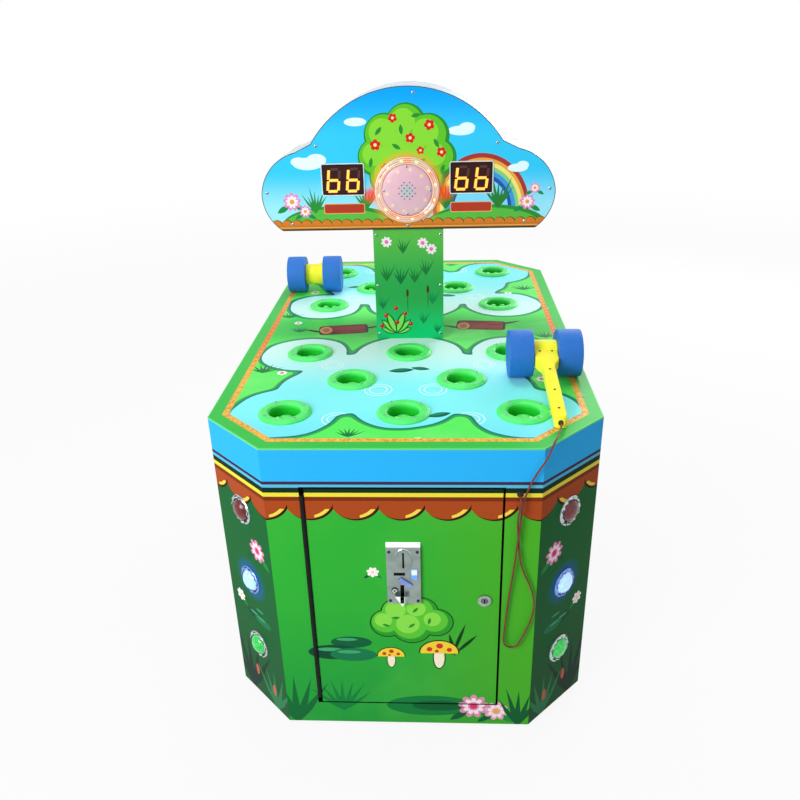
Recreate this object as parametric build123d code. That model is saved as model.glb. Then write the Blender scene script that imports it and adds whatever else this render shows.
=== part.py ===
from build123d import *
import math
import os

os.makedirs("parts", exist_ok=True)

# Cabinet: an eight-sided box of board on rubber feet, with the playfield as its lid.
cabinet_width = 700
cabinet_length = 1150
corner_cut = 115
table_height = 622
foot_height = 6
foot_radius = 20
foot_inset_x = 70
foot_inset_y = 165
wall_thickness = 15
floor_thickness = 12
board_thickness = 18
overlay_thickness = 3
batten_size = 20
ledger_width = 40
lay_gap = 0.5
seat_gap = 0.3
overrun = 4

# Playfield: eight holes for each of the two players, the far half turned half round.
outer_row_inset = 131
outer_row_side_inset = 137
middle_row_inset = 275
middle_row_x = 107
inner_row_y = 159
inner_row_side_inset = 140
ring_radius = 48
ring_height = 6
ring_edge = 2.5
ring_slope = 5
hole_radius = 29
collar_wall = 3
ring_screw_radius = 2.6
ring_screw_height = 1.4
ring_screw_inset = 6.5
ring_screw_turns = (35, 125, 215, 305)
edge_screw_inset = 22
edge_screw_spacing = 250

# Frog and its lifting gear: a moulded head on a steel rod, pulled through a coil.
frog_radius = 26
frog_stem_radius = 22
frog_head_height = 52
frog_shoulder = 6
frog_dome = 22
frog_below_table = 6
frog_eye_radius = 8.5
frog_eye_spread = 11.5
frog_eye_forward = 10
frog_eye_drop = 5
frog_travel = 55
rod_radius = 6
rod_grip = 25
rod_hold = 21
rod_fit = 0.06
coil_radius = 19
coil_bore_gap = 0.6
solenoid_width = 46
solenoid_height = 64
solenoid_plate = 4
shelf_drop = 101
shelf_thickness = 12
shelf_hole_radius = 12
switch_width = 20
switch_depth = 7
switch_height = 12
cable_hole_radius = 16

# Coin door: flush in the front wall, hung on a long hinge at the left.
door_side_margin = 61
door_opening_low = 56
door_head_margin = 74
door_gap = 3
latch_gap = 4
knuckle_radius = 3.5
knuckle_side_gap = 1
knuckle_bore_gap = 0.05
hinge_pin_radius = 1.5
leaf_thickness = 1.2
leaf_width = 9
knuckle_count = 9
knuckle_end_gap = 0.4
hinge_end_inset = 12

# Door lock: a cam lock at the right edge, drawn unlocked.
lock_inset = 30.5
lock_below_table = 310
lock_flange_radius = 12
lock_flange_reach = 3
lock_body_radius = 9.3
lock_nut_radius = 13
lock_nut_thickness = 4
lock_plug_radius = 6.2
lock_plug_fit = 0.06
lock_cam_length = 44
lock_cam_width = 12
lock_cam_thickness = 2
lock_key_width = 2
lock_key_height = 7
lock_key_depth = 3

# Coin selector: a cast face plate with slot, window, button, return slot and lip.
coin_plate_width = 60
coin_plate_height = 130
coin_plate_thickness = 5
coin_plate_bevel = 4.8
coin_centre_below_table = 250
coin_boss_width = 30
coin_boss_height = 43
coin_boss_reach = 2.5
coin_boss_z = 31
coin_slot_width = 3.5
coin_slot_height = 33
coin_window_width = 20
coin_window_height = 6.5
coin_window_x = -7.5
coin_window_depth = 1.5
return_slot_width = 7
return_slot_height = 34
return_slot_x = -3
return_slot_z = -41
return_pocket_depth = 10
lip_reach = 9
lip_width = 26
lip_height = 22
lip_wall = 2.2
button_width = 10
button_height = 20
button_x = 19
button_reach = 3.5
button_travel = 2.5
button_gap = 0.35
button_rounding = 0.7
button_flange = 1.2
button_flange_thickness = 1.5
mech_width = 54
mech_height = 108
mech_depth = 62
mech_chute_width = 14
mech_chute_depth = 22
mech_chute_height = 18
mech_chute_wall = 4

# Inside the cabinet.
coin_box_width = 160
coin_box_length = 190
coin_box_height = 150
coin_box_wall = 1.5
coin_box_setback = 32
control_board_width = 150
control_board_length = 220
control_board_thickness = 1.6
control_board_x = -130
control_board_y = 160
standoff_radius = 4
standoff_height = 10
standoff_inset = 9
chip_width = 28
chip_length = 36
chip_height = 8
power_supply_width = 110
power_supply_length = 215
power_supply_height = 50
power_supply_x = 130
power_supply_y = 160

# Rear service panel and mains inlet.
service_side_margin = 85
service_low = 130
service_head_margin = 192
service_lap = 15
service_plate = 3
louvre_count = 7
louvre_side_margin = 40
louvre_height = 18
inlet_beside_panel = 4
inlet_z = 95
inlet_width = 32
inlet_height = 62
inlet_flange = 3
inlet_body_depth = 28
inlet_body_inset = 3
socket_width = 23
socket_height = 15
socket_depth = 16
socket_z = -14
prong_width = 2.4
prong_height = 5
prong_length = 9
prong_spacing = 7
rocker_width = 14
rocker_height = 20
rocker_z = 14
rocker_gap = 0.5
rocker_radius = 13
rocker_tilt = 10
rocker_pin_radius = 1.5
rocker_well_depth = 14
rocker_pin_depth = 3.5

# Corner lamps: three to a corner facet.
lamp_low_z = 150
lamp_below_table = 156
lamp_count = 3
lamp_flange_radius = 29
lamp_flange_thickness = 5
lamp_body_radius = 23.5
lamp_body_depth = 32
lamp_hole_gap = 0.5
lens_radius = 21.5
lens_dome = 13
lens_seat = 2

# Cord grommets and the cord of the front hammer.
grommet_beside_door = 24
grommet_below_table = 86.5
grommet_flange_radius = 5.5
grommet_flange = 1.5
grommet_body_radius = 4
cord_radius = 1.75
arc_share = 0.45

# Post that carries the sign.
post_width = 147
post_depth = 143
post_board = 12
post_panel = 3
post_top_below_sign_top = 45
post_screw_inset_x = 6
post_screw_inset_z = 12

# Sign: a cloud-shaped double-sided light box.
sign_width = 600
sign_height = 277
sign_depth = 150
sign_bottom = 865
sign_rim = 4
sign_face = 3
sign_corner_share = (0.873, 0.0)
sign_low_turn_share = (0.973, 0.13)
sign_side_share = (1.0, 0.27)
sign_lobe_turn_share = (0.943, 0.433)
sign_lobe_share = (0.753, 0.567)
sign_valley_share = (0.64, 0.625)
sign_screw_shares = (
    (0.05, 0.955), (0.603, 0.61), (-0.603, 0.61), (0.96, 0.285),
    (-0.96, 0.285), (0.80, 0.05), (-0.80, 0.05), (0.0, 0.028),
)
screw_radius = 3
screw_reach = 1.6
display_x = 130
display_z = 103
display_width = 86
display_height = 62
display_depth = 28
display_reach = 1
speaker_z = 80
speaker_hole_radius = 46
speaker_radius = 44
speaker_depth = 30
speaker_flange_radius = 52
speaker_flange = 3
speaker_magnet_radius = 22
speaker_magnet_depth = 14
light_ring_radius = 66
light_ring_reach = 5
cover_radius = 51
cover_dome = 5
cover_seat_gap = 0.5

# Hammers: a two-part plastic handle between two soft cylinders.
pad_radius = 46
pad_length = 45.5
pad_rounding = 1.5
hub_length = 46
hub_radius = 26
handle_length = 233
handle_width = 22.5
handle_end_thickness = 17
head_thickness = 40
handle_rounding = 3
head_plate_width = 44
head_plate_front = 50
head_plate_back = 16
head_plate_taper = 16
head_under_length = 16
neck_under = 7
cord_hole_radius = 4
cord_hole_depth = 6
cord_exit = 8
cord_gap = 0.05
front_hammer_side_inset = 84.5
front_hammer_end_inset = 296
front_hammer_angle = 0.9
rear_hammer_side_inset = 90
rear_hammer_end_inset = 289
rear_hammer_angle = 1.5

# Sizes that follow from those above.
half_width = cabinet_width / 2
half_length = cabinet_length / 2
wall_top = table_height - overlay_thickness
board_bottom = wall_top - board_thickness
floor_top = foot_height + floor_thickness
inner_half_width = half_width - wall_thickness
inner_half_length = half_length - wall_thickness
mitre = wall_thickness * math.tan(math.radians(22.5))
front_reach = half_width - corner_cut - mitre
side_reach = half_length - corner_cut - mitre
coin_face_reach = coin_plate_thickness + lip_reach
shelf_top = table_height - frog_below_table - shelf_drop - seat_gap * 2
shelf_bottom = shelf_top - shelf_thickness
outer_row_y = half_length - outer_row_inset
middle_row_y = half_length - middle_row_inset
outer_row_x = half_width - outer_row_side_inset
inner_row_x = half_width - inner_row_side_inset
lamp_pitch = (table_height - lamp_below_table - lamp_low_z) / (lamp_count - 1)
door_opening_half = half_width - corner_cut - door_side_margin
door_opening_high = table_height - door_head_margin
lock_x = door_opening_half - lock_inset
lock_z = table_height - lock_below_table
coin_centre_z = table_height - coin_centre_below_table
service_half_width = half_width - corner_cut - service_side_margin
service_high = table_height - service_head_margin
louvre_half_width = service_half_width - louvre_side_margin
inlet_x = -(service_half_width + service_lap + inlet_beside_panel + inlet_width / 2)
grommet_x = door_opening_half + grommet_beside_door
grommet_z = table_height - grommet_below_table
front_hammer_place = (half_width - front_hammer_side_inset, front_hammer_end_inset - half_length)
rear_hammer_place = (rear_hammer_side_inset - half_width, half_length - rear_hammer_end_inset)
hinge_gap = 2 * (knuckle_radius + knuckle_side_gap)
door_left = hinge_gap - door_opening_half
door_right = door_opening_half - latch_gap
door_low = door_opening_low + door_gap
door_high = door_opening_high - door_gap
sign_half_width = sign_width / 2
sign_front = sign_depth / 2
sign_skin = sign_front - sign_face
post_half_width = post_width / 2
post_half_depth = post_depth / 2
low_edge = (Align.MIN, Align.MIN, Align.MIN)
standing = (Align.CENTER, Align.CENTER, Align.MIN)


def block(across, along, up):
    """A box between three pairs of low and high values."""
    size = [pair[1] - pair[0] for pair in (across, along, up)]
    return Pos(across[0], along[0], up[0]) * Box(*size, align=low_edge)


def upright(radius, low, high, x=0, y=0):
    """A cylinder standing on Z."""
    return Pos(x, y, low) * Cylinder(radius, high - low, align=standing)


def level(radius, near, far, x, z):
    """A cylinder lying along Y."""
    return Pos(x, near, z) * Rot(-90, 0, 0) * Cylinder(radius, far - near, align=standing)


def prism(points, low, high):
    """An upright prism over an outline of points."""
    outline = make_face(Polyline(*points, close=True))
    return Pos(0, 0, low) * extrude(outline, amount=high - low, dir=(0, 0, 1))


def side_prism(points, low, high):
    """A prism along X over an outline of points in (y, z)."""
    outline = make_face(Polyline(*[(low, y, z) for y, z in points], close=True))
    return extrude(outline, amount=high - low, dir=(1, 0, 0))


def turned(points):
    """A body turned about Z from half of its section, points in (radius, height)."""
    section = make_face(Polyline(*[(r, 0, z) for r, z in points], close=True))
    return revolve(section, axis=Axis.Z)


def dome(radius, low, rise):
    """Part of one sphere, as a section: from its rim up to the axis."""
    ball = (radius ** 2 + rise ** 2) / (2 * rise)
    centre = low + rise - ball
    lean = math.atan2(radius, low - centre) / 2
    middle = (ball * math.sin(lean), centre + ball * math.cos(lean))
    return ThreePointArc((radius, low), middle, (0, low + rise))


def save(name, pieces):
    """Write one node, with its pieces as separate solids."""
    solids = [solid for piece in pieces for solid in piece.solids()]
    export_step(Compound(children=solids), f"parts/{name}.step")


def octagon(inset):
    """The cabinet's outline, moved in by the inset."""
    x = half_width - inset
    y = half_length - inset
    cut = corner_cut - inset * (2 - math.sqrt(2))
    right = [(x - cut, -y), (x, cut - y), (x, y - cut), (x - cut, y)]
    return right + [(-px, py) for px, py in reversed(right)]


def facet_wall(index):
    """One mitred wall board between two neighbouring corners of the octagon."""
    outer = octagon(0)
    inner = octagon(wall_thickness)
    after = (index + 1) % len(outer)
    corners = [outer[index], outer[after], inner[after], inner[index]]
    return prism(corners, foot_height, wall_top)


def corner_places():
    """The four corner facets: local -Y looks outwards and Z stays up."""
    x = half_width - corner_cut / 2
    y = half_length - corner_cut / 2
    corners = [(x, -y), (x, y), (-x, y), (-x, -y)]
    return [Pos(*corner, 0) * Rot(0, 0, 45 + 90 * step) for step, corner in enumerate(corners)]


def lamp_heights():
    return [lamp_low_z + lamp_pitch * step for step in range(lamp_count)]


def hole_places():
    """Hole centres and the way each frog looks: 0 to the front player, 180 to the rear."""
    near = [(x, -outer_row_y) for x in (-outer_row_x, 0, outer_row_x)]
    near += [(x, -middle_row_y) for x in (-middle_row_x, middle_row_x)]
    near += [(x, -inner_row_y) for x in (-inner_row_x, 0, inner_row_x)]
    front = [(x, y, 0) for x, y in near]
    return front + [(-x, -y, 180) for x, y in near]


def make_walls():
    """Eight walls; the front one is cut for the coin door, the rear one for the service panel."""
    boards = [facet_wall(index) for index in range(8)]
    grommet_hole = level(grommet_body_radius, -overrun, wall_thickness + overrun, 0, grommet_z)
    across = (-door_opening_half, door_opening_half)
    up = (door_opening_low, door_opening_high)
    through = (-half_length - overrun, -inner_half_length + overrun)
    front = boards[7] - block(across, through, up)
    front -= Pos(grommet_x, -half_length, 0) * grommet_hole
    save("front_wall", [front])
    across = (-service_half_width, service_half_width)
    through = (inner_half_length - overrun, half_length + overrun)
    rear = boards[3] - block(across, through, (service_low, service_high))
    rear -= Pos(-grommet_x, inner_half_length, 0) * grommet_hole
    hole_half = inlet_width / 2 - inlet_body_inset + lay_gap
    hole_rise = inlet_height / 2 - inlet_body_inset + lay_gap
    across = (inlet_x - hole_half, inlet_x + hole_half)
    rear -= block(across, through, (inlet_z - hole_rise, inlet_z + hole_rise))
    save("rear_wall", [rear])
    save("side_walls", [boards[5], boards[1]])
    corners = [boards[0], boards[2], boards[4], boards[6]]
    lamp_hole = lamp_body_radius + lamp_hole_gap
    for number, place in enumerate(corner_places()):
        for z in lamp_heights():
            hole = level(lamp_hole, -overrun, wall_thickness + overrun, 0, z)
            corners[number] = corners[number] - place * hole
    save("corner_walls", corners)


def make_carcass():
    """Floor, feet and the battens that carry the playfield and the mechanism shelf."""
    save("floor_board", [prism(octagon(wall_thickness), foot_height, floor_top)])
    x = half_width - foot_inset_x
    y = half_length - foot_inset_y
    spots = [(sx * x, sy * y) for sx in (-1, 1) for sy in (-1, 0, 1)]
    save("feet", [upright(foot_radius, 0, foot_height, *spot) for spot in spots])
    rail_low = board_bottom - batten_size
    low_x = inner_half_width - batten_size
    low_y = inner_half_length - batten_size
    end_post = block((front_reach - batten_size, front_reach), (low_y, inner_half_length),
                     (floor_top, rail_low))
    side_post = block((low_x, inner_half_width), (side_reach - batten_size, side_reach),
                      (floor_top, rail_low))
    end_rail = block((-front_reach, front_reach), (low_y, inner_half_length), (rail_low, board_bottom))
    side_rail = block((low_x, inner_half_width), (-side_reach, side_reach), (rail_low, board_bottom))
    ledger_end = side_reach - batten_size
    ledger = block((inner_half_width - ledger_width, inner_half_width), (-ledger_end, ledger_end),
                   (shelf_bottom - batten_size, shelf_bottom))
    battens = []
    for post in (end_post, side_post):
        across = mirror(post, about=Plane.YZ)
        battens += [post, across, mirror(post, about=Plane.XZ), mirror(across, about=Plane.XZ)]
    battens += [end_rail, mirror(end_rail, about=Plane.XZ)]
    battens += [side_rail, mirror(side_rail, about=Plane.YZ)]
    battens += [ledger, mirror(ledger, about=Plane.YZ)]
    save("frame_battens", battens)


def make_playfield():
    """Board, printed overlay, the sixteen hole rings and their screws."""
    board = prism(octagon(wall_thickness + lay_gap), board_bottom, wall_top)
    overlay = prism(octagon(0), wall_top, table_height)
    collar_radius = hole_radius + collar_wall
    hole = upright(collar_radius + lay_gap, board_bottom - overrun, table_height + overrun)
    ring = turned([
        (hole_radius, board_bottom), (collar_radius, board_bottom), (collar_radius, table_height),
        (ring_radius, table_height), (ring_radius, table_height + ring_edge),
        (ring_radius - ring_slope, table_height + ring_height),
        (collar_radius, table_height + ring_height),
        (hole_radius, table_height + ring_height - collar_wall),
    ])
    screw = upright(ring_screw_radius, table_height + ring_height,
                    table_height + ring_height + ring_screw_height)
    rings = []
    screws = []
    screw_circle = ring_radius - ring_screw_inset - ring_screw_radius
    for x, y, turn in hole_places():
        board -= Pos(x, y, 0) * hole
        overlay -= Pos(x, y, 0) * hole
        rings.append(Pos(x, y, 0) * ring)
        for angle in ring_screw_turns:
            screws.append(Pos(x, y, 0) * Rot(0, 0, angle + turn) * Pos(screw_circle, 0, 0) * screw)
    cable_way = upright(cable_hole_radius, board_bottom - overrun, table_height + overrun)
    save("playfield_board", [board - cable_way])
    save("playfield_overlay", [overlay - cable_way])
    save("hole_rings", rings)
    edge_screw = upright(ring_screw_radius, table_height, table_height + ring_screw_height)
    edge_x = half_width - edge_screw_inset
    rows = [-edge_screw_spacing * 1.5, -edge_screw_spacing / 2, edge_screw_spacing / 2,
            edge_screw_spacing * 1.5]
    for y in rows:
        screws += [Pos(edge_x, y, 0) * edge_screw, Pos(-edge_x, y, 0) * edge_screw]
    save("playfield_screws", screws)


def frog_shape():
    """Head and stem as one moulding, looking to -Y, bored for its rod."""
    top = table_height - frog_below_table
    shoulder = top - frog_head_height
    foot = shelf_top + seat_gap
    side = make_face([
        Line((0, foot), (frog_stem_radius, foot)),
        Line((frog_stem_radius, foot), (frog_stem_radius, shoulder - frog_shoulder)),
        Line((frog_stem_radius, shoulder - frog_shoulder), (frog_radius, shoulder)),
        Line((frog_radius, shoulder), (frog_radius, top - frog_dome)),
        dome(frog_radius, top - frog_dome, frog_dome),
        Line((0, top), (0, foot)),
    ])
    body = revolve(Rot(90, 0, 0) * side, axis=Axis.Z)
    for side_way in (-1, 1):
        eye = Sphere(frog_eye_radius)
        body += Pos(side_way * frog_eye_spread, -frog_eye_forward, top - frog_eye_drop) * eye
    return body - upright(rod_radius, foot - overrun, foot + rod_grip)


def make_frogs():
    """Sixteen frogs, each with its rod reaching down through its coil."""
    foot = shelf_top + seat_gap
    rod_low = shelf_bottom - frog_travel - rod_hold
    rod = upright(rod_radius, rod_low, foot + rod_grip)
    frog = frog_shape()
    for number, (x, y, turn) in enumerate(hole_places(), start=1):
        place = Pos(x, y, 0) * Rot(0, 0, turn)
        save(f"frog_{number:02d}", [place * frog, place * rod])


def make_lifting_gear():
    """Shelf, solenoids under it and one hit switch beside each frog's stem."""
    shelf = prism(octagon(wall_thickness + batten_size + lay_gap), shelf_bottom, shelf_top)
    half = solenoid_width / 2
    low = shelf_bottom - solenoid_height
    plate_bore = rod_radius + rod_fit
    frame = block((-half, half), (-half, half), (shelf_bottom - solenoid_plate, shelf_bottom))
    frame += block((-half, half), (-half, half), (low, low + solenoid_plate))
    frame += block((-half, half), (half - solenoid_plate, half), (low, shelf_bottom))
    frame -= upright(plate_bore, low - overrun, shelf_bottom + overrun)
    coil = upright(min(coil_radius, half - solenoid_plate), low + solenoid_plate,
                   shelf_bottom - solenoid_plate)
    coil -= upright(rod_radius + coil_bore_gap, low, shelf_bottom)
    near = frog_stem_radius + 2 * lay_gap
    switch = block((-switch_width / 2, switch_width / 2), (near, near + switch_depth),
                   (shelf_top, shelf_top + switch_height))
    rod_way = upright(shelf_hole_radius, shelf_bottom - overrun, shelf_top + overrun)
    gear = []
    switches = []
    for x, y, turn in hole_places():
        place = Pos(x, y, 0) * Rot(0, 0, turn)
        shelf -= place * rod_way
        gear += [place * frame, place * coil]
        switches.append(place * switch)
    save("mechanism_shelf", [shelf])
    save("solenoids", gear)
    save("hit_switches", switches)


def make_lamps():
    """Three lamps to each corner facet: a flanged holder and its lens."""
    holder = turned([
        (0, -lamp_body_depth), (lamp_body_radius, -lamp_body_depth), (lamp_body_radius, 0),
        (lamp_flange_radius, 0), (lamp_flange_radius, lamp_flange_thickness - lens_seat),
        (lens_radius + lens_seat, lamp_flange_thickness),
        (lens_radius, lamp_flange_thickness), (lens_radius, 0), (0, 0),
    ])
    section = make_face([
        Line((0, 0), (lens_radius, 0)), Line((lens_radius, 0), (lens_radius, lens_seat)),
        dome(lens_radius, lens_seat, lens_dome),
        Line((0, lens_seat + lens_dome), (0, 0)),
    ])
    lens = revolve(Rot(90, 0, 0) * section, axis=Axis.Z)
    holders = []
    lenses = []
    for place in corner_places():
        for z in lamp_heights():
            seat = place * Pos(0, 0, z) * Rot(90, 0, 0)
            holders.append(seat * holder)
            lenses.append(seat * lens)
    save("lamp_bezels", holders)
    save("lamp_lenses", lenses)


def make_door():
    """The coin door board with its cut-out for the selector and its lock hole."""
    board = block((door_left, door_right), (-half_length, -inner_half_length), (door_low, door_high))
    half = mech_width / 2 + lay_gap
    rise = mech_height / 2 + lay_gap
    through = (-half_length - overrun, -inner_half_length + overrun)
    board -= block((-half, half), through, (coin_centre_z - rise, coin_centre_z + rise))
    board -= level(lock_body_radius + lay_gap, *through, lock_x, lock_z)
    save("coin_door", [board])


def hinge_leaf(side, knuckles):
    """One leaf, side -1 on the wall and 1 on the door, with its share of the knuckles."""
    pin_x = -door_opening_half + hinge_gap / 2
    outer = pin_x + side * hinge_gap / 2
    inner = outer - side * leaf_thickness
    across = (min(outer, inner), max(outer, inner))
    clear = knuckle_radius + knuckle_end_gap
    low = door_low + hinge_end_inset
    high = door_high - hinge_end_inset
    leaf = block(across, (clear - half_length, clear + leaf_width - half_length), (low, high))
    pitch = (high - low) / knuckle_count
    arm = (min(pin_x, outer), max(pin_x, outer))
    for step in knuckles:
        up = (low + pitch * step + knuckle_end_gap / 2, low + pitch * (step + 1) - knuckle_end_gap / 2)
        leaf += Pos(pin_x, -half_length, 0) * upright(knuckle_radius, *up)
        web = (min(outer, inner), max(outer, inner))
        leaf += block(web, (-half_length, clear + overrun - half_length), up)
        leaf += block(arm, (-half_length, leaf_thickness - half_length), up)
    bore = upright(hinge_pin_radius + knuckle_bore_gap, low - overrun, high + overrun, pin_x, -half_length)
    return leaf - bore, (low, high), pin_x


def make_hinge():
    """Long hinge: wall leaf with the pin, and door leaf."""
    wall_leaf, span, pin_x = hinge_leaf(-1, range(0, knuckle_count, 2))
    door_leaf = hinge_leaf(1, range(1, knuckle_count, 2))[0]
    pin = upright(hinge_pin_radius, *span, pin_x, -half_length)
    save("door_hinge_fixed", [wall_leaf, pin])
    save("door_hinge_leaf", [door_leaf])


def make_lock():
    """Cam lock: flanged barrel with its nut, and the plug with the cam hanging down."""
    front = -half_length - lock_flange_reach
    back = -inner_half_length + lock_nut_thickness
    barrel = level(lock_flange_radius, front, -half_length, lock_x, lock_z)
    barrel += level(lock_body_radius, front, back, lock_x, lock_z)
    barrel += level(lock_nut_radius, -inner_half_length, back, lock_x, lock_z)
    bore = lock_plug_radius + lock_plug_fit
    barrel -= level(bore, front - overrun, back + overrun, lock_x, lock_z)
    save("lock_barrel", [barrel])
    cam_near = back + lay_gap
    cam_far = cam_near + lock_cam_thickness
    plug = level(lock_plug_radius, front, cam_far, lock_x, lock_z)
    half = lock_cam_width / 2
    plug += block((lock_x - half, lock_x + half), (cam_near, cam_far),
                  (lock_z - lock_cam_length, lock_z + half))
    key_half = lock_key_width / 2
    key_rise = lock_key_height / 2
    plug -= block((lock_x - key_half, lock_x + key_half), (front - overrun, front + lock_key_depth),
                  (lock_z - key_rise, lock_z + key_rise))
    save("lock_plug", [plug])


def at_coin_plate(shape):
    """From the plate's own frame (face outwards -Y, centre at zero) to the door."""
    return Pos(0, -half_length, coin_centre_z) * shape


def make_coin_selector():
    """Face plate with its slots and return lip, mechanism behind it, and the button."""
    half = coin_plate_width / 2
    rise = coin_plate_height / 2
    front = -coin_plate_thickness
    side = Polyline((0, -rise), (front, -rise), (front, rise - 2 * coin_plate_bevel),
                    (front + coin_plate_bevel, rise), (0, rise), close=True)
    plate = Pos(-half, 0, 0) * extrude(Plane.YZ * make_face(side), amount=coin_plate_width)
    boss = extrude(Ellipse(coin_boss_width / 2, coin_boss_height / 2), amount=coin_boss_reach)
    plate += Pos(0, front, coin_boss_z) * Rot(90, 0, 0) * boss
    deep = (front - coin_boss_reach - overrun, overrun)
    slot_half = coin_slot_width / 2
    slot_rise = coin_slot_height / 2
    plate -= block((-slot_half, slot_half), deep, (coin_boss_z - slot_rise, coin_boss_z + slot_rise))
    window_half = coin_window_width / 2
    window_rise = coin_window_height / 2
    plate -= block((coin_window_x - window_half, coin_window_x + window_half),
                   (front - overrun, front + coin_window_depth), (-window_rise, window_rise))
    way = return_slot_width / 2
    way_rise = return_slot_height / 2
    return_way = block((return_slot_x - way, return_slot_x + way), (-overrun - coin_face_reach,
                       return_pocket_depth), (return_slot_z - way_rise, return_slot_z + way_rise))
    lip = return_lip(rise)
    plate = (plate + lip) - return_way
    hole_x = (button_x - button_width / 2 - button_gap, button_x + button_width / 2 + button_gap)
    hole_z = (-button_height / 2 - button_gap, button_height / 2 + button_gap)
    plate -= block(hole_x, deep, hole_z)
    save("coin_plate", [at_coin_plate(plate)])
    mech = block((-mech_width / 2, mech_width / 2), (0, mech_depth), (-mech_height / 2, mech_height / 2))
    pocket = button_flange + button_gap
    mech -= block((hole_x[0] - pocket, hole_x[1] + pocket),
                  (0, button_flange_thickness + button_travel + 2 * button_gap),
                  (hole_z[0] - pocket, hole_z[1] + pocket))
    chute_far = mech_depth - mech_chute_wall
    mech -= block((-mech_chute_width / 2, mech_chute_width / 2), (chute_far - mech_chute_depth, chute_far),
                  (-mech_height / 2 - overrun, mech_chute_height - mech_height / 2))
    mech -= return_way
    save("coin_mech", [at_coin_plate(mech)])
    button = block((button_x - button_width / 2, button_x + button_width / 2),
                   (front - button_reach, button_gap), (-button_height / 2, button_height / 2))
    button = fillet(button.faces().sort_by(Axis.Y)[0].edges(), radius=button_rounding)
    reach_x = (button_x - button_width / 2 - button_flange, button_x + button_width / 2 + button_flange)
    reach_z = (-button_height / 2 - button_flange, button_height / 2 + button_flange)
    button += block(reach_x, (button_gap, button_gap + button_flange_thickness), reach_z)
    save("reject_button", [at_coin_plate(button)])


def return_lip(rise):
    """The V-shaped trough under the return slot, standing out from the plate."""
    front = -coin_plate_thickness
    half = lip_width / 2
    low = -rise
    high = low + lip_height
    outline = [(-half, high), (0, low), (half, high)]
    inside = [(lip_wall - half, high), (0, low + 2 * lip_wall), (half - lip_wall, high)]
    inside = [(inside[0][0], high + overrun), *inside, (inside[-1][0], high + overrun)]
    outer = Rot(90, 0, 0) * extrude(make_face(Polyline(*outline, close=True)), amount=lip_reach)
    hollow = extrude(make_face(Polyline(*inside, close=True)), amount=lip_reach - lip_wall)
    trough = Pos(0, front, 0) * outer - Pos(0, front, 0) * Rot(90, 0, 0) * hollow
    return Pos(return_slot_x, 0, 0) * trough


def make_inside():
    """Coin box behind the door, control board and power supply on the floor."""
    near = -inner_half_length + coin_box_setback
    half = coin_box_width / 2
    box = block((-half, half), (near, near + coin_box_length), (floor_top, floor_top + coin_box_height))
    box -= block((coin_box_wall - half, half - coin_box_wall),
                 (near + coin_box_wall, near + coin_box_length - coin_box_wall),
                 (floor_top + coin_box_wall, floor_top + coin_box_height + overrun))
    save("coin_box", [box])
    x = control_board_width / 2
    y = control_board_length / 2
    low = floor_top + standoff_height
    top = low + control_board_thickness
    board = [block((-x, x), (-y, y), (low, top))]
    legs = [(sx * (x - standoff_inset), sy * (y - standoff_inset)) for sx in (-1, 1) for sy in (-1, 1)]
    board += [upright(standoff_radius, floor_top, low, *spot) for spot in legs]
    chip = block((-chip_width / 2, chip_width / 2), (-chip_length / 2, chip_length / 2),
                 (top, top + chip_height))
    board += [Pos(0, step * y / 2, 0) * chip for step in (-1, 0, 1)]
    save("control_board", [Pos(control_board_x, control_board_y, 0) * piece for piece in board])
    x = power_supply_width / 2
    y = power_supply_length / 2
    supply = block((-x, x), (-y, y), (floor_top, floor_top + power_supply_height))
    save("power_supply", [Pos(power_supply_x, power_supply_y, 0) * supply])


def make_service_panel():
    """Rear panel over the service opening, with a column of hooded louvres."""
    across = (-service_half_width - service_lap, service_half_width + service_lap)
    up = (service_low - service_lap, service_high + service_lap)
    panel = block(across, (half_length, half_length + service_plate), up)
    reach = coin_face_reach - service_plate
    pitch = (service_high - service_low) / louvre_count
    hood = make_face(Polyline((0, 0), (reach, 0), (0, louvre_height), close=True))
    hood = extrude(Plane.YZ * hood, amount=2 * louvre_half_width)
    for step in range(louvre_count):
        z = service_low + pitch * (step + 0.5) - louvre_height / 2
        panel += Pos(-louvre_half_width, half_length + service_plate, z) * hood
    save("rear_service_panel", [panel])


def make_inlet():
    """Mains inlet with its three prongs, and the rocker switch above it."""
    half = inlet_width / 2
    rise = inlet_height / 2
    slim = inlet_body_inset
    body = block((-half, half), (-inlet_flange, 0), (-rise, rise))
    body += block((slim - half, half - slim), (-overrun, inlet_body_depth), (slim - rise, rise - slim))
    socket_half = socket_width / 2
    socket_rise = socket_height / 2
    mouth = -inlet_flange - overrun
    body -= block((-socket_half, socket_half), (mouth, socket_depth),
                  (socket_z - socket_rise, socket_z + socket_rise))
    for step in (-1, 0, 1):
        x = step * prong_spacing
        prong_x = (x - prong_width / 2, x + prong_width / 2)
        prong_z = (socket_z - prong_height / 2, socket_z + prong_height / 2)
        body += block(prong_x, (socket_depth - prong_length, socket_depth), prong_z)
    well_half = rocker_width / 2 + rocker_gap
    well_rise = rocker_height / 2 + rocker_gap
    body -= block((-well_half, well_half), (mouth, rocker_well_depth),
                  (rocker_z - well_rise, rocker_z + well_rise))
    body -= Pos(0, rocker_pin_depth, rocker_z) * across_rod(rocker_pin_radius + rod_fit,
                                                            rocker_width + 2 * slim)
    place = Pos(inlet_x, half_length, inlet_z) * Rot(0, 0, 180)
    save("mains_inlet", [place * body])
    save("power_switch", [place * Pos(0, rocker_pin_depth, rocker_z) * rocker_shape()])


def across_rod(radius, length):
    """A rod along X, centred."""
    return Rot(0, 90, 0) * Cylinder(radius, length)


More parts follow.
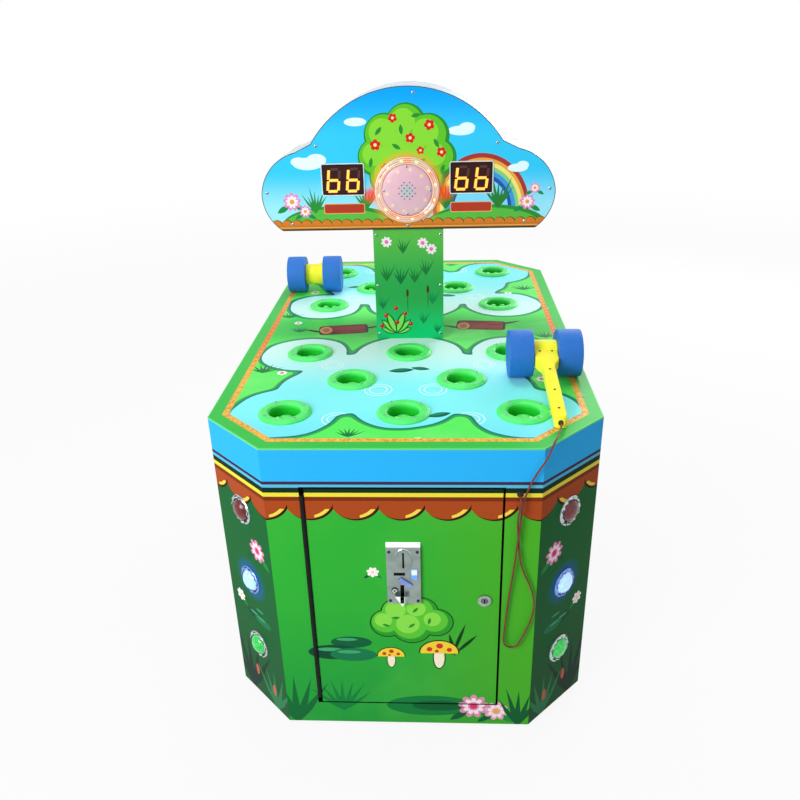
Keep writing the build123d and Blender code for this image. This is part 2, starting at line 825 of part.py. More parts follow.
def rocker_shape():
    """Rocker about its own pivot: its outer face is two flats that meet at the middle."""
    half = rocker_height / 2
    lean = math.tan(math.radians(rocker_tilt)) * half
    flat = rocker_radius - rocker_pin_radius - half
    outline = [(-flat, 0), (lean - flat, half), (flat + rocker_pin_radius, half / 2),
               (flat + rocker_pin_radius, -half / 2), (lean - flat, -half)]
    face = make_face(Polyline(*outline, close=True))
    shape = extrude(Plane.YZ * face, amount=rocker_width)
    shape = Pos(-rocker_width / 2, 0, 0) * shape
    pin = across_rod(rocker_pin_radius, rocker_width + 2 * rocker_pin_radius)
    return Rot(rocker_tilt, 0, 0) * (shape + pin)


def make_grommets():
    """Rubber grommets where the two hammer cords pass the walls."""
    grommet = level(grommet_flange_radius, -grommet_flange, 0, 0, 0)
    grommet += level(grommet_body_radius, -grommet_flange, wall_thickness, 0, 0)
    front = Pos(grommet_x, -half_length, grommet_z)
    rear = Pos(-grommet_x, half_length, grommet_z) * Rot(0, 0, 180)
    save("cord_grommets", [front * grommet, rear * grommet])


def sign_outline(inset=0):
    """The cloud outline on XZ: flat foot, round lobes at the sides and one high round top."""
    def at(share, side=1):
        return (side * share[0] * sign_half_width, share[1] * sign_height)

    lines = [Line(at(sign_corner_share, -1), at(sign_corner_share))]
    for side in (1, -1):
        lines.append(ThreePointArc(at(sign_corner_share, side), at(sign_low_turn_share, side),
                                   at(sign_side_share, side)))
        lines.append(ThreePointArc(at(sign_side_share, side), at(sign_lobe_turn_share, side),
                                   at(sign_lobe_share, side)))
        lines.append(Line(at(sign_lobe_share, side), at(sign_valley_share, side)))
    lines.append(ThreePointArc(at(sign_valley_share), (0, sign_height), at(sign_valley_share, -1)))
    face = make_face(lines)
    if inset:
        face = offset(face, amount=-inset, kind=Kind.INTERSECTION)
    return face


def sign_slab(inset, near, far):
    """The cloud shape from y=near to y=far, standing at the sign's height."""
    slab = extrude(sign_outline(inset), amount=far - near)
    return Pos(0, far, sign_bottom) * Rot(90, 0, 0) * slab


def make_sign():
    """Rim, two printed faces, displays, speakers and screws, the same on both sides."""
    rim = sign_slab(0, -sign_skin, sign_skin)
    rim -= sign_slab(sign_rim, -sign_skin - overrun, sign_skin + overrun)
    well = (-post_half_width - seat_gap, post_half_width + seat_gap)
    reach = post_half_depth - post_panel + seat_gap
    rim -= block(well, (-reach, reach), (sign_bottom - overrun, sign_bottom + sign_rim + overrun))
    save("marquee_rim", [rim])
    face = sign_slab(0, -sign_front, -sign_skin)
    through = (-sign_front - overrun, overrun - sign_skin)
    half = display_width / 2 + lay_gap
    rise = display_height / 2 + lay_gap
    z = sign_bottom + display_z
    for x in (-display_x, display_x):
        face -= block((x - half, x + half), through, (z - rise, z + rise))
    face -= level(speaker_hole_radius, *through, 0, sign_bottom + speaker_z)
    faces = [face, Rot(0, 0, 180) * face]
    save("marquee_faces", faces)
    display = block((-display_width / 2, display_width / 2),
                    (-sign_front - display_reach, display_depth - sign_front),
                    (z - display_height / 2, z + display_height / 2))
    front = [Pos(x, 0, 0) * display for x in (-display_x, display_x)]
    save("score_displays", front + [Rot(0, 0, 180) * piece for piece in front])
    make_speakers()
    screws = [sign_screw(x * sign_half_width, sign_bottom + up * sign_height, sign_front)
              for x, up in sign_screw_shares]
    middle = (table_height + sign_bottom) / 2
    spread = (sign_bottom - table_height) / 2 - post_screw_inset_z
    for x in (post_screw_inset_x - post_half_width, post_half_width - post_screw_inset_x):
        for step in (-1, 0, 1):
            screws.append(sign_screw(x, middle + step * spread, post_half_depth))
    save("marquee_screws", screws + [Rot(0, 0, 180) * screw for screw in screws])


def sign_screw(x, z, face_y):
    """A pan-head screw standing on a face that looks to -Y."""
    head = Pos(x, -face_y, z) * Rot(90, 0, 0) * Cylinder(screw_radius, screw_reach, align=standing)
    return chamfer(head.faces().sort_by(Axis.Y)[0].edges(), length=screw_reach / 2)


def make_speakers():
    """Round light ring and domed speaker cover outside, loudspeaker inside, on both sides."""
    z = sign_bottom + speaker_z
    outer = Pos(0, -sign_front, z) * Rot(90, 0, 0)
    ring = turned([
        (speaker_hole_radius, 0), (light_ring_radius, 0), (light_ring_radius, light_ring_reach / 2),
        (light_ring_radius - light_ring_reach / 2, light_ring_reach),
        (cover_radius + cover_seat_gap, light_ring_reach),
        (cover_radius + cover_seat_gap, light_ring_reach / 2),
        (speaker_hole_radius, light_ring_reach / 2),
    ])
    low = light_ring_reach / 2
    section = make_face([
        Line((0, low), (cover_radius, low)),
        Line((cover_radius, low), (cover_radius, light_ring_reach)),
        dome(cover_radius, light_ring_reach, cover_dome),
        Line((0, light_ring_reach + cover_dome), (0, low)),
    ])
    cover = revolve(Rot(90, 0, 0) * section, axis=Axis.Z)
    covers = [outer * ring, outer * cover]
    save("speaker_covers", covers + [Rot(0, 0, 180) * piece for piece in covers])
    driver = level(speaker_radius, -sign_front, speaker_depth - sign_front, 0, z)
    driver += level(speaker_flange_radius, -sign_skin, speaker_flange - sign_skin, 0, z)
    back = speaker_depth - sign_front
    driver += level(speaker_magnet_radius, back, back + speaker_magnet_depth, 0, z)
    save("speakers", [driver, Rot(0, 0, 180) * driver])


def make_post():
    """Two boards that run up into the sign, and the printed panels on their front and rear."""
    top = sign_bottom + sign_height - post_top_below_sign_top
    reach = post_half_depth - post_panel
    board = block((post_half_width - post_board, post_half_width), (-reach, reach), (table_height, top))
    save("post_frame", [board, mirror(board, about=Plane.YZ)])
    panel = block((-post_half_width, post_half_width), (-post_half_depth, -reach),
                  (table_height, sign_bottom))
    save("post_panels", [panel, mirror(panel, about=Plane.XZ)])


def hammer_tilt():
    """The handle slopes down so that its end lies on the table beside the round head."""
    return math.degrees(math.atan2(pad_radius - handle_end_thickness / 2, handle_length))


def hammer_handle():
    """Hub, head block and grip as one moulding, head at the origin, grip to -Y. The grip thins
    towards its end, and its underside rises behind the head."""
    hub = across_rod(hub_radius, hub_length)
    wide = head_plate_width / 2
    slim = handle_width / 2
    taper = head_plate_front + head_plate_taper
    outline = [(-wide, head_plate_back), (wide, head_plate_back), (wide, -head_plate_front),
               (slim, -taper), (slim, -handle_length), (-slim, -handle_length), (-slim, -taper),
               (-wide, -head_plate_front)]
    thick = head_thickness / 2
    thin = handle_end_thickness / 2
    bar = prism(outline, -thick, thick)
    bar &= side_prism([(head_plate_back, thick), (head_plate_back, -thick), (-head_under_length, -thick),
                       (-head_plate_front, -neck_under), (-handle_length, -thin), (-handle_length, thin)],
                      -wide, wide)
    bar = chamfer(bar.faces().sort_by(Axis.Z)[-1].edges(), length=handle_rounding)
    handle = hub + bar
    far = -handle_length
    return handle - level(cord_hole_radius, far - overrun, far + cord_hole_depth, 0, 0)


def hammer_pad(side):
    """One soft cylinder, with eased rims, against the hub's end."""
    pad = Rot(0, 90, 0) * Cylinder(pad_radius, pad_length)
    pad = fillet(pad.edges().filter_by(GeomType.CIRCLE), radius=pad_rounding)
    return Pos(side * (hub_length + pad_length) / 2, 0, 0) * pad


def make_hammers():
    """Both hammers lie on the playfield, each with its grip towards its player."""
    handle = hammer_handle()
    pads = [hammer_pad(-1), hammer_pad(1)]
    height = table_height + pad_radius + seat_gap
    hammers = (("front", front_hammer_place, front_hammer_angle),
               ("rear", rear_hammer_place, rear_hammer_angle + 180))
    for name, spot, turn in hammers:
        place = Pos(*spot, height) * Rot(0, 0, turn) * Rot(hammer_tilt(), 0, 0)
        save(f"{name}_hammer_handle", [place * handle])
        save(f"{name}_hammer_pads", [place * pad for pad in pads])


def cord_end():
    """Where the cord leaves the front hammer's grip, and the bottom of its hole there."""
    height = table_height + pad_radius + seat_gap
    place = Pos(*front_hammer_place, height) * Rot(0, 0, front_hammer_angle) * Rot(hammer_tilt(), 0, 0)
    outside = place * Pos(0, -handle_length - cord_exit, 0)
    inside = place * Pos(0, cord_hole_depth - handle_length - cord_gap, 0)
    return [outside.position, inside.position]


# The front hammer's cord, point by point: out of the grommet, down in front of the wall beside
# the door, round a hanging loop, up again and over the table's edge to the hammer's grip.
cord_route = [
    (198.0, -576.5, 535.5), (198.0, -583.4, 535.5), (198.0, -589.4, 532.0), (197.8, -592.9, 526.0),
    (197.0, -593.0, 516.5), (195.6, -588.6, 502.0), (195.4, -582.6, 484.0), (196.4, -580.4, 464.0),
    (198.6, -580.4, 444.0), (200.2, -582.2, 424.0), (202.6, -582.4, 402.0), (210.6, -581.4, 376.0),
    (224.0, -580.8, 346.0), (233.0, -580.2, 310.0), (228.0, -580.6, 273.0), (216.8, -581.4, 242.0),
    (209.5, -581.8, 224.0), (204.5, -581.8, 213.0), (198.3, -581.8, 208.8), (190.8, -581.6, 208.3),
    (184.1, -581.4, 211.6), (180.1, -581.0, 218.0), (179.8, -580.8, 229.0), (180.6, -580.4, 249.0),
    (183.0, -580.2, 286.0), (186.6, -580.6, 330.0), (190.8, -581.4, 370.0), (193.6, -582.6, 400.0),
    (194.8, -584.0, 423.0), (196.4, -585.0, 444.0), (198.4, -585.0, 465.0), (200.2, -583.6, 486.0),
    (201.4, -582.4, 508.0), (205.0, -581.6, 532.0), (213.0, -581.4, 558.0), (224.0, -582.0, 582.0),
    (234.0, -583.4, 600.0), (240.0, -583.0, 612.5), (244.6, -577.8, 622.6), (249.8, -567.6, 628.4),
    (256.0, -555.4, 630.4),
]


def make_cord():
    """The cord as a tube of straight runs and arcs, each arc as large as its runs allow."""
    points = [Vector(*point) for point in cord_route] + cord_end()
    radii = []
    for before, here, after in zip(points, points[1:], points[2:]):
        turn = (here - before).get_angle(after - here)
        short = min((here - before).length, (after - here).length)
        radii.append(arc_share * short / math.tan(math.radians(turn) / 2))
    path = FilletPolyline(*points, radius=radii)
    start = Plane(origin=points[0], z_dir=points[1] - points[0])
    tube = sweep(start * Circle(cord_radius), path=path)
    print("cord length", round(path.length, 1), "of", len(points), "points")
    print("cord ends", [tuple(round(value, 1) for value in point) for point in points[-2:]])
    print("cord radii", [round(radius, 1) for radius in radii])
    print("cord volume over section times length",
          round(tube.volume / (math.pi * cord_radius ** 2 * path.length), 4))
    save("hammer_cord", [tube])


make_walls()
make_carcass()
make_playfield()
make_frogs()
make_lifting_gear()
make_lamps()
make_door()
make_hinge()
make_lock()
make_coin_selector()
make_inside()
make_service_panel()
make_inlet()
make_grommets()
make_sign()
make_post()
make_hammers()
make_cord()
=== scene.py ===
import bmesh
import bpy
import math
from mathutils import Matrix, Vector


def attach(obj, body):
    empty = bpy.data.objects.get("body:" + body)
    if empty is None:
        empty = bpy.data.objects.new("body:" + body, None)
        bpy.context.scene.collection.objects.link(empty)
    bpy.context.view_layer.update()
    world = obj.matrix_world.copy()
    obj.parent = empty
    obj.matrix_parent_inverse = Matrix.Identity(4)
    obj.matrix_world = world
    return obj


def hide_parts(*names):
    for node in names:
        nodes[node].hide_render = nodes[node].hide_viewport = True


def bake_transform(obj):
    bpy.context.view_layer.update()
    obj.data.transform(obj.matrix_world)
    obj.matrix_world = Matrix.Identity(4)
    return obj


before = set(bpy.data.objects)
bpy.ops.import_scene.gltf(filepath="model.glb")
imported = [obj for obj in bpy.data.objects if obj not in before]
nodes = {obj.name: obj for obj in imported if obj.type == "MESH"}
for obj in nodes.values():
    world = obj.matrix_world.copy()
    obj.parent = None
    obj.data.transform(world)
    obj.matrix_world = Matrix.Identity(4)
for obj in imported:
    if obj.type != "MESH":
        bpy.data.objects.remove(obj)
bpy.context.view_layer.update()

# The camera stands two steps in front of the machine, a little to its right, at an adult's eye
# height, and looks down over the playfield.
camera_place = Vector((0.06445, -1.67015, 1.23004))
camera_turn = -0.057
camera_dip = 0.443
camera_roll = -0.028
camera_lens = 34.59
ahead = Vector((math.sin(camera_turn) * math.cos(camera_dip),
                math.cos(camera_turn) * math.cos(camera_dip), -math.sin(camera_dip)))
level_right = Vector((math.cos(camera_turn), -math.sin(camera_turn), 0))
level_up = level_right.cross(ahead)
camera_right = level_right * math.cos(camera_roll) + level_up * math.sin(camera_roll)
camera_up = level_up * math.cos(camera_roll) - level_right * math.sin(camera_roll)
camera = bpy.data.objects.new("camera", bpy.data.cameras.new("camera"))
camera.data.lens = camera_lens
turned_camera = Matrix((camera_right, camera_up, -ahead)).transposed().to_4x4()
camera.matrix_world = Matrix.Translation(camera_place) @ turned_camera
bpy.context.scene.collection.objects.link(camera)
bpy.context.scene.camera = camera

# The front hammer's cord is a thin red-brown lead. It comes out of its grommet beside the door,
# hangs in one long narrow loop, and goes up over the table's edge into the hammer's grip.
cord_route = [
    (0.1980, -0.5765, 0.5355), (0.1980, -0.5834, 0.5355), (0.1980, -0.5894, 0.5320),
    (0.1978, -0.5929, 0.5260), (0.1970, -0.5930, 0.5165), (0.1956, -0.5886, 0.5020),
    (0.1954, -0.5826, 0.4840), (0.1964, -0.5804, 0.4640), (0.1986, -0.5804, 0.4440),
    (0.2002, -0.5822, 0.4240), (0.2026, -0.5824, 0.4020), (0.2106, -0.5814, 0.3760),
    (0.2240, -0.5808, 0.3460), (0.2330, -0.5802, 0.3100), (0.2280, -0.5806, 0.2730),
    (0.2168, -0.5814, 0.2420), (0.2095, -0.5818, 0.2240), (0.2045, -0.5818, 0.2130),
    (0.1983, -0.5818, 0.2088), (0.1908, -0.5816, 0.2083), (0.1841, -0.5814, 0.2116),
    (0.1801, -0.5810, 0.2180), (0.1798, -0.5808, 0.2290), (0.1806, -0.5804, 0.2490),
    (0.1830, -0.5802, 0.2860), (0.1866, -0.5806, 0.3300), (0.1908, -0.5814, 0.3700),
    (0.1936, -0.5826, 0.4000), (0.1948, -0.5840, 0.4230), (0.1964, -0.5850, 0.4440),
    (0.1984, -0.5850, 0.4650), (0.2002, -0.5836, 0.4860), (0.2014, -0.5824, 0.5080),
    (0.2050, -0.5816, 0.5320), (0.2130, -0.5814, 0.5580), (0.2240, -0.5820, 0.5820),
    (0.2340, -0.5834, 0.6000), (0.2400, -0.5830, 0.6125), (0.2446, -0.5778, 0.6226),
    (0.2498, -0.5676, 0.6284), (0.2560, -0.5554, 0.6304), (0.2692, -0.5169, 0.6300),
    (0.2690, -0.5031, 0.6322),
]
cord_radius = 0.00175


def ink(code):
    """The shader's linear values for a colour written as on a colour chart."""
    parts = [int(code[place:place + 2], 16) / 255 for place in (0, 2, 4)]
    return [part / 12.92 if part <= 0.04045 else ((part + 0.055) / 1.055) ** 2.4 for part in parts] + [1]


def feed(tree, socket, value):
    """Give a socket a plain value or another node's result."""
    if isinstance(value, bpy.types.NodeSocket):
        tree.links.new(value, socket)
    else:
        socket.default_value = value


class Finish:
    """One surface: colours laid over each other where their masks are 1, and a sheen on top."""

    def __init__(self, name, ground):
        self.material = bpy.data.materials.new(name)
        self.material.use_nodes = True
        self.tree = self.material.node_tree
        self.shader = self.tree.nodes["Principled BSDF"]
        self.point = self.node("TexCoord").outputs["Object"]
        self.x, self.y, self.z = self.node("SeparateXYZ", self.point).outputs
        self.colour = ink(ground)
        self.put("Base Color", self.colour)

    def node(self, kind, *values, **settings):
        """A new node with its settings, and with what its first sockets are given."""
        made = self.tree.nodes.new(f"ShaderNode{kind}")
        for name, value in settings.items():
            setattr(made, name, value)
        for socket, value in zip(made.inputs, values):
            feed(self.tree, socket, value)
        return made

    def calc(self, operation, *values):
        """One step of arithmetic."""
        return self.node("Math", *values, operation=operation).outputs[0]

    def less(self, value, other):
        return self.calc("SUBTRACT", value, other)

    def times(self, value, other):
        return self.calc("MULTIPLY", value, other)

    def size(self, value):
        """A value without its sign."""
        return self.calc("ABSOLUTE", value)

    def gap(self, value, other):
        """How far two values are apart."""
        return self.size(self.less(value, other))

    def far(self, across, up):
        """How far a place is from the middle, from its two distances."""
        return self.calc("SQRT", self.calc("MULTIPLY_ADD", across, across, self.times(up, up)))

    def put(self, socket, value):
        """Give one of the shader's own sockets what it takes."""
        feed(self.tree, self.shader.inputs[socket], value)

    def glow(self, strength, code=None):
        """The surface lit from behind, in one colour or in its own colours."""
        self.put("Emission Color", ink(code) if code else self.colour)
        self.put("Emission Strength", strength)

    def paint(self, colour, mask, inside=None):
        """Lay a colour over what is there where the mask is 1, and only inside another one."""
        if inside:
            mask = self.times(mask, inside)
        mix = self.node("Mix", mask, data_type="RGBA")
        feed(self.tree, mix.inputs[6], self.colour)
        feed(self.tree, mix.inputs[7], ink(colour))
        self.colour = mix.outputs[2]
        self.put("Base Color", self.colour)

    def ramp(self, value, low, high, most=1.0):
        """Rises smoothly from 0 at low to most at high."""
        return self.node("MapRange", value, low, high, 0.0, most,
                         interpolation_type="SMOOTHSTEP").outputs[0]

    def noise(self, scale, detail=2.0, stretch=(1, 1, 1)):
        """Cloudy unevenness from 0 to 1."""
        local = self.node("Mapping", self.point, (0, 0, 0), (0, 0, 0), stretch)
        return self.node("TexNoise", local.outputs[0], 0.0, scale, detail).outputs[0]

    def sheen(self, low, high, scale=60.0, coat=0.0):
        """How rough the surface is, uneven between two limits, under a clear coat or none."""
        rough = self.ramp(self.noise(scale, 4.0), 0.3, 0.7, high - low)
        self.put("Roughness", self.calc("ADD", rough, low))
        self.put("Coat Weight", coat)
        self.put("Coat Roughness", 0.08)

    def relief(self, height, depth):
        """Fine unevenness that catches the light, its depth in metres."""
        bump = self.node("Bump")
        bump.inputs["Distance"].default_value = depth
        feed(self.tree, bump.inputs["Height"], height)
        self.put("Normal", bump.outputs[0])


def cord_spline(name):
    """The cord's line, smooth through its whole route."""
    curve = bpy.data.curves.new(name, "CURVE")
    curve.dimensions = "3D"
    line = curve.splines.new("NURBS")
    line.points.add(len(cord_route) - 1)
    for point, place in zip(line.points, cord_route):
        point.co = (*place, 1)
    line.order_u = 3
    line.use_endpoint_u = True
    line.resolution_u = 6
    return bpy.data.objects.new(name, curve)


cord_centre = bpy.data.meshes.new_from_object(cord_spline("front_hammer_cord_centre"))
cord_tube = cord_spline("front_hammer_cord_line")
cord_tube.data.bevel_depth = cord_radius
cord_tube.data.bevel_resolution = 2
cord_tube.data.use_fill_caps = True
cord_finish = Finish("red_cord_sleeve", "742A18")
cord_finish.paint("4C170E", cord_finish.ramp(cord_finish.noise(900.0, 1.0, (1, 1, 0.35)), 0.45, 0.6, 0.8))
cord_finish.sheen(0.4, 0.55)
cord_finish.relief(cord_finish.noise(1100.0, 1.0, (1, 1, 0.4)), 0.0002)
cord_mesh = bpy.data.meshes.new_from_object(cord_tube)
cord_mesh.materials.clear()
cord_mesh.materials.append(cord_finish.material)
cord_mesh.shade_smooth()
cord = bpy.data.objects.new("front_hammer_cord", cord_mesh)
bpy.context.scene.collection.objects.link(cord)
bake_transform(cord)
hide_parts("hammer_cord")

# A plain pale floor, a large soft lamp in front to the left, a weaker one overhead and one
# behind to the right for the far side. What the camera sees beyond the floor is white.
floor_half = 9.0
floor_shape = bmesh.new()
bmesh.ops.create_grid(floor_shape, x_segments=1, y_segments=1, size=floor_half)
floor_mesh = bpy.data.meshes.new("floor")
floor_shape.to_mesh(floor_mesh)
floor_shape.free()
floor = bpy.data.objects.new("floor", floor_mesh)
bpy.context.scene.collection.objects.link(floor)


def seen_white(tree, shaded, white, share):
    """What lights the scene, mixed with a white for the camera, reflections and clear things.
    The share of white is a number or a socket."""
    path = tree.nodes.new("ShaderNodeLightPath")
    seen = path.outputs["Is Camera Ray"]
    for operation, other in (
        ("MAXIMUM", path.outputs["Is Glossy Ray"]), ("MAXIMUM", path.outputs["Is Transmission Ray"]),
        ("MULTIPLY", share),
    ):
        step = tree.nodes.new("ShaderNodeMath")
        step.operation = operation
        tree.links.new(seen, step.inputs[0])
        feed(tree, step.inputs[1], other)
        seen = step.outputs[0]
    mix = tree.nodes.new("ShaderNodeMixShader")
    for socket, source in zip(mix.inputs, (seen, shaded, white)):
        tree.links.new(source, socket)
    return mix.outputs[0]


floor_paper = bpy.data.materials.new("floor_paper")
floor_paper.use_nodes = True
floor_tree = floor_paper.node_tree
paper = floor_tree.nodes["Principled BSDF"]
paper.inputs["Base Color"].default_value = (0.7, 0.7, 0.7, 1)
paper.inputs["Roughness"].default_value = 0.9
paper_light = floor_tree.nodes.new("ShaderNodeEmission")
paper_place = floor_tree.nodes.new("ShaderNodeTexCoord")
paper_reach = floor_tree.nodes.new("ShaderNodeVectorMath")
paper_reach.operation = "LENGTH"
floor_tree.links.new(paper_place.outputs["Object"], paper_reach.inputs[0])
paper_fade = floor_tree.nodes.new("ShaderNodeMapRange")
paper_fade.interpolation_type = "SMOOTHSTEP"
for number, value in ((1, 1.2), (2, 6.0), (3, 0.9), (4, 1.0)):
    paper_fade.inputs[number].default_value = value
floor_tree.links.new(paper_reach.outputs["Value"], paper_fade.inputs[0])
floor_tree.links.new(seen_white(floor_tree, paper.outputs[0], paper_light.outputs[0], paper_fade.outputs[0]),
                     floor_tree.nodes["Material Output"].inputs["Surface"])
floor_mesh.materials.append(floor_paper)
world = bpy.data.worlds.new("studio")
world.use_nodes = True
bpy.context.scene.world = world
bpy.context.scene.view_settings.view_transform = "Standard"
sky = world.node_tree.nodes["Background"]
sky.inputs["Color"].default_value = (1, 1, 1, 1)
sky.inputs["Strength"].default_value = 0.36
backdrop = world.node_tree.nodes.new("ShaderNodeBackground")
backdrop.inputs["Color"].default_value = (1, 1, 1, 1)
world.node_tree.links.new(seen_white(world.node_tree, sky.outputs[0], backdrop.outputs[0], 1.0),
                          world.node_tree.nodes["World Output"].inputs["Surface"])
for lamp_name, place, power, size in (
    ("key_lamp", Vector((-1.9, -2.6, 1.9)), 84.0, 1.6),
    ("top_lamp", Vector((-0.2, 0.3, 3.1)), 22.0, 1.4),
    ("far_lamp", Vector((1.7, 2.4, 1.8)), 62.0, 2.0),
):
    lamp = bpy.data.objects.new(lamp_name, bpy.data.lights.new(lamp_name, "AREA"))
    lamp.data.energy = power
    lamp.data.size = size
    aim = (Vector((0, 0, 0.6)) - place).to_track_quat("-Z", "Y").to_matrix().to_4x4()
    lamp.matrix_world = Matrix.Translation(place) @ aim
    bpy.context.scene.collection.objects.link(lamp)

# The inner works are plain stock: birch ply boards, pine battens, rubber feet, sheet steel
# boxes, a vented power supply and a green circuit board. They are screwed to the boards.


def plain(name, colour, shade, low, high, scale, depth, stretch=(1, 1, 1), metal=0.0, specular=0.5,
          coat=0.0, lit=None):
    """A surface of one colour, mottled with a shade of it, with a grain of its own."""
    finish = Finish(name, colour)
    finish.paint(shade, finish.ramp(finish.noise(scale, 4.0, stretch), 0.35, 0.75, 0.7))
    finish.sheen(low, high, scale * 2, coat)
    finish.put("Metallic", metal)
    finish.put("Specular IOR Level", specular)
    finish.relief(finish.noise(scale * 5, 3.0, stretch), depth)
    if lit:
        finish.glow(*lit)
    return finish


def dress(finish, *names):
    """Give a finish to CAD pieces."""
    for name in names:
        surfaces = nodes[name].data.materials
        surfaces.clear()
        surfaces.append(finish.material)


dress(plain("birch_ply", "C9A877", "9C7747", 0.5, 0.7, 14, 0.0003, (1, 9, 1)),
      "floor_board", "mechanism_shelf", "playfield_board")
dress(plain("pine_battens", "D8B47C", "A9803F", 0.5, 0.7, 16, 0.0004, (6, 6, 1)), "frame_battens")
dress(plain("black_rubber", "1B1B1C", "303032", 0.6, 0.85, 60, 0.0002), "feet", "cord_grommets")
dress(plain("zinc_sheet", "A9AEB2", "868C92", 0.3, 0.5, 40, 0.00008, metal=0.9),
      "coin_box", "power_supply")
dress(plain("black_hinge_steel", "08090A", "141618", 0.45, 0.6, 50, 0.00008, specular=0.15),
      "door_hinge_fixed", "door_hinge_leaf")
dress(plain("wound_coils", "B4692F", "6F747A", 0.35, 0.55, 90, 0.0003, (1, 1, 8)), "solenoids")
dress(plain("black_works", "232427", "3A3B40", 0.45, 0.65, 70, 0.0001),
      "hit_switches", "speakers", "mains_inlet", "coin_mech")
dress(plain("power_rocker", "2B0F0E", "45201C", 0.3, 0.45, 60, 0.00005), "power_switch")
dress(plain("circuit_board", "1E6B35", "0F4522", 0.35, 0.5, 120, 0.0001), "control_board")


def new_piece(name, shape, body, finishes, replaced=(), crease=35):
    """Make a finished mesh a piece of the machine. Each face has the finish of its number."""
    mesh = bpy.data.meshes.new(name)
    shape.to_mesh(mesh)
    shape.free()
    for finish in finishes:
        mesh.materials.append(finish.material)
    mesh.shade_smooth()
    mesh.set_sharp_from_angle(angle=math.radians(crease))
    piece = bpy.data.objects.new(name, mesh)
    bpy.context.scene.collection.objects.link(piece)
    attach(piece, body)
    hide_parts(*replaced)
    return piece


def ease(shape, edges, width, steps):
    """Round some edges of a shape."""
    bmesh.ops.bevel(shape, geom=edges, offset=width, offset_type="OFFSET", affect="EDGES",
                    segments=steps, profile=0.5, material=-1)


def block(low, high):
    """A box between two corners."""
    shape = bmesh.new()
    middle = (Vector(low) + Vector(high)) / 2
    size = Vector(high) - Vector(low)
    bmesh.ops.create_cube(shape, size=1.0,
                          matrix=Matrix.Translation(middle) @ Matrix.Diagonal((*size, 1)))
    return shape


# The print on the walls is a gloss film on board. Bands run round the table's edge: blue, plum,
# pale blue, black-green and yellow, then red-brown scallops over a green garden.
half_width = 0.35
half_length = 0.575
table_top = 0.622
corner_cut = 0.115
film = 0.0004
half_root = 0.7071
scallop_pitch = 0.0783
scallop_drop = 0.023
scallop_low = 0.4815
scallop_high = scallop_low + scallop_drop
white_lamp_height = 0.308


class Print(Finish):
    """A finish with shapes drawn on two of its directions, with edges as sharp as a print's.
    A shape is a mask."""

    edge = 0.0005

    def draw_on(self, across, up):
        self.across = across
        self.up = up
        self.flat = self.node("CombineXYZ", across, up).outputs[0]

    def lay(self, shape, *rows, inside=None):
        """Paint a shape again and again. Each row is a colour and what the shape takes."""
        for colour, *sizes in rows:
            self.paint(colour, shape(*sizes), inside)

    def within(self, distance, limit=0.0, size=1.0):
        """1 where the distance, in units of size, is under the limit."""
        return self.ramp(distance, limit + self.edge / size / 2, limit - self.edge / size / 2)

    def either(self, masks):
        result = masks[0]
        for mask in masks[1:]:
            result = self.calc("MAXIMUM", result, mask)
        return result

    def without(self, mask, cut):
        return self.times(mask, self.less(1.0, cut))

    def band(self, value, low, high):
        """1 between two values."""
        return self.within(self.gap(value, (low + high) / 2), (high - low) / 2)

    def spot(self, across, up, half_across, half_up, turn=0.0):
        """A shape's own flat place, from -1 to 1 over it."""
        return self.node("Mapping", self.flat, (across, up, 0), (0, 0, math.radians(turn)),
                         (half_across, half_up, 1), vector_type="TEXTURE").outputs[0]

    def split(self, place):
        return self.node("SeparateXYZ", place).outputs[:2]

    def reach(self, across=0.0, up=0.0, place=None):
        """How far a flat place is from a point."""
        return self.node("VectorMath", place or self.flat, (across, up, 0),
                         operation="DISTANCE").outputs["Value"]

    def disc(self, across, up, half_across, half_up=None, turn=0.0):
        if half_up is None:
            return self.within(self.reach(across, up), half_across)
        place = self.spot(across, up, half_across, half_up, turn)
        return self.within(self.reach(place=place), 1.0, min(half_across, half_up))

    def hoop(self, across, up, radius, width):
        """A thin ring line."""
        return self.within(self.gap(self.reach(across, up), radius), width / 2)

    def leaf(self, across, up, length, width, turn=0.0):
        """A leaf pointed at both ends, lying along its turn."""
        a, b = self.split(self.spot(across, up, length / 2, width / 2, turn))
        return self.within(self.calc("MULTIPLY_ADD", a, a, self.size(b)), 1.0, width / 2)

    def bloom(self, across, up, radius, petals, turn=0.0, depth=0.45):
        """Round petals about a middle."""
        place = self.spot(across, up, radius, radius, turn)
        a, b = self.split(place)
        angle = self.times(self.calc("ARCTAN2", b, a), petals / 2)
        wave = self.calc("POWER", self.size(self.calc("COSINE", angle)), 0.6)
        rim = self.calc("MULTIPLY_ADD", wave, depth, 1 - depth)
        return self.within(self.less(self.reach(place=place), rim), 0.0, radius)

    def tuft(self, across, up, height, spread=60.0, blades=7, turn=0.0):
        """Pointed grass blades that fan out from one root."""
        place = self.spot(across, up, height, height, turn)
        a, b = self.split(place)
        reach = self.reach(place=place)
        angle = self.calc("ARCTAN2", a, b)
        gap = math.radians(2 * spread) / blades
        off = self.size(self.calc("WRAP", angle, gap / 2, -gap / 2))
        uneven = self.calc("MULTIPLY_ADD", self.calc("SINE", self.times(angle, 11.0)), 0.2, 1.05)
        far = self.times(reach, uneven)
        slim = self.calc("MULTIPLY_ADD", far, 0.09, -0.09)
        blade = self.within(self.calc("MULTIPLY_ADD", off, reach, slim), 0.0, height)
        return self.times(blade, self.within(self.size(angle), math.radians(spread)))

    def lobed(self, lobes, layers, across=0.0, up=0.0, size=1.0):
        """Round lobes in layers, each shrunk and moved to the lit side."""
        for colour, grown, shift in layers:
            self.paint(colour, self.either([
                self.disc(across + (a + shift) * size, up + (b - shift) * size, (r + grown) * size)
                for a, b, r in lobes]))


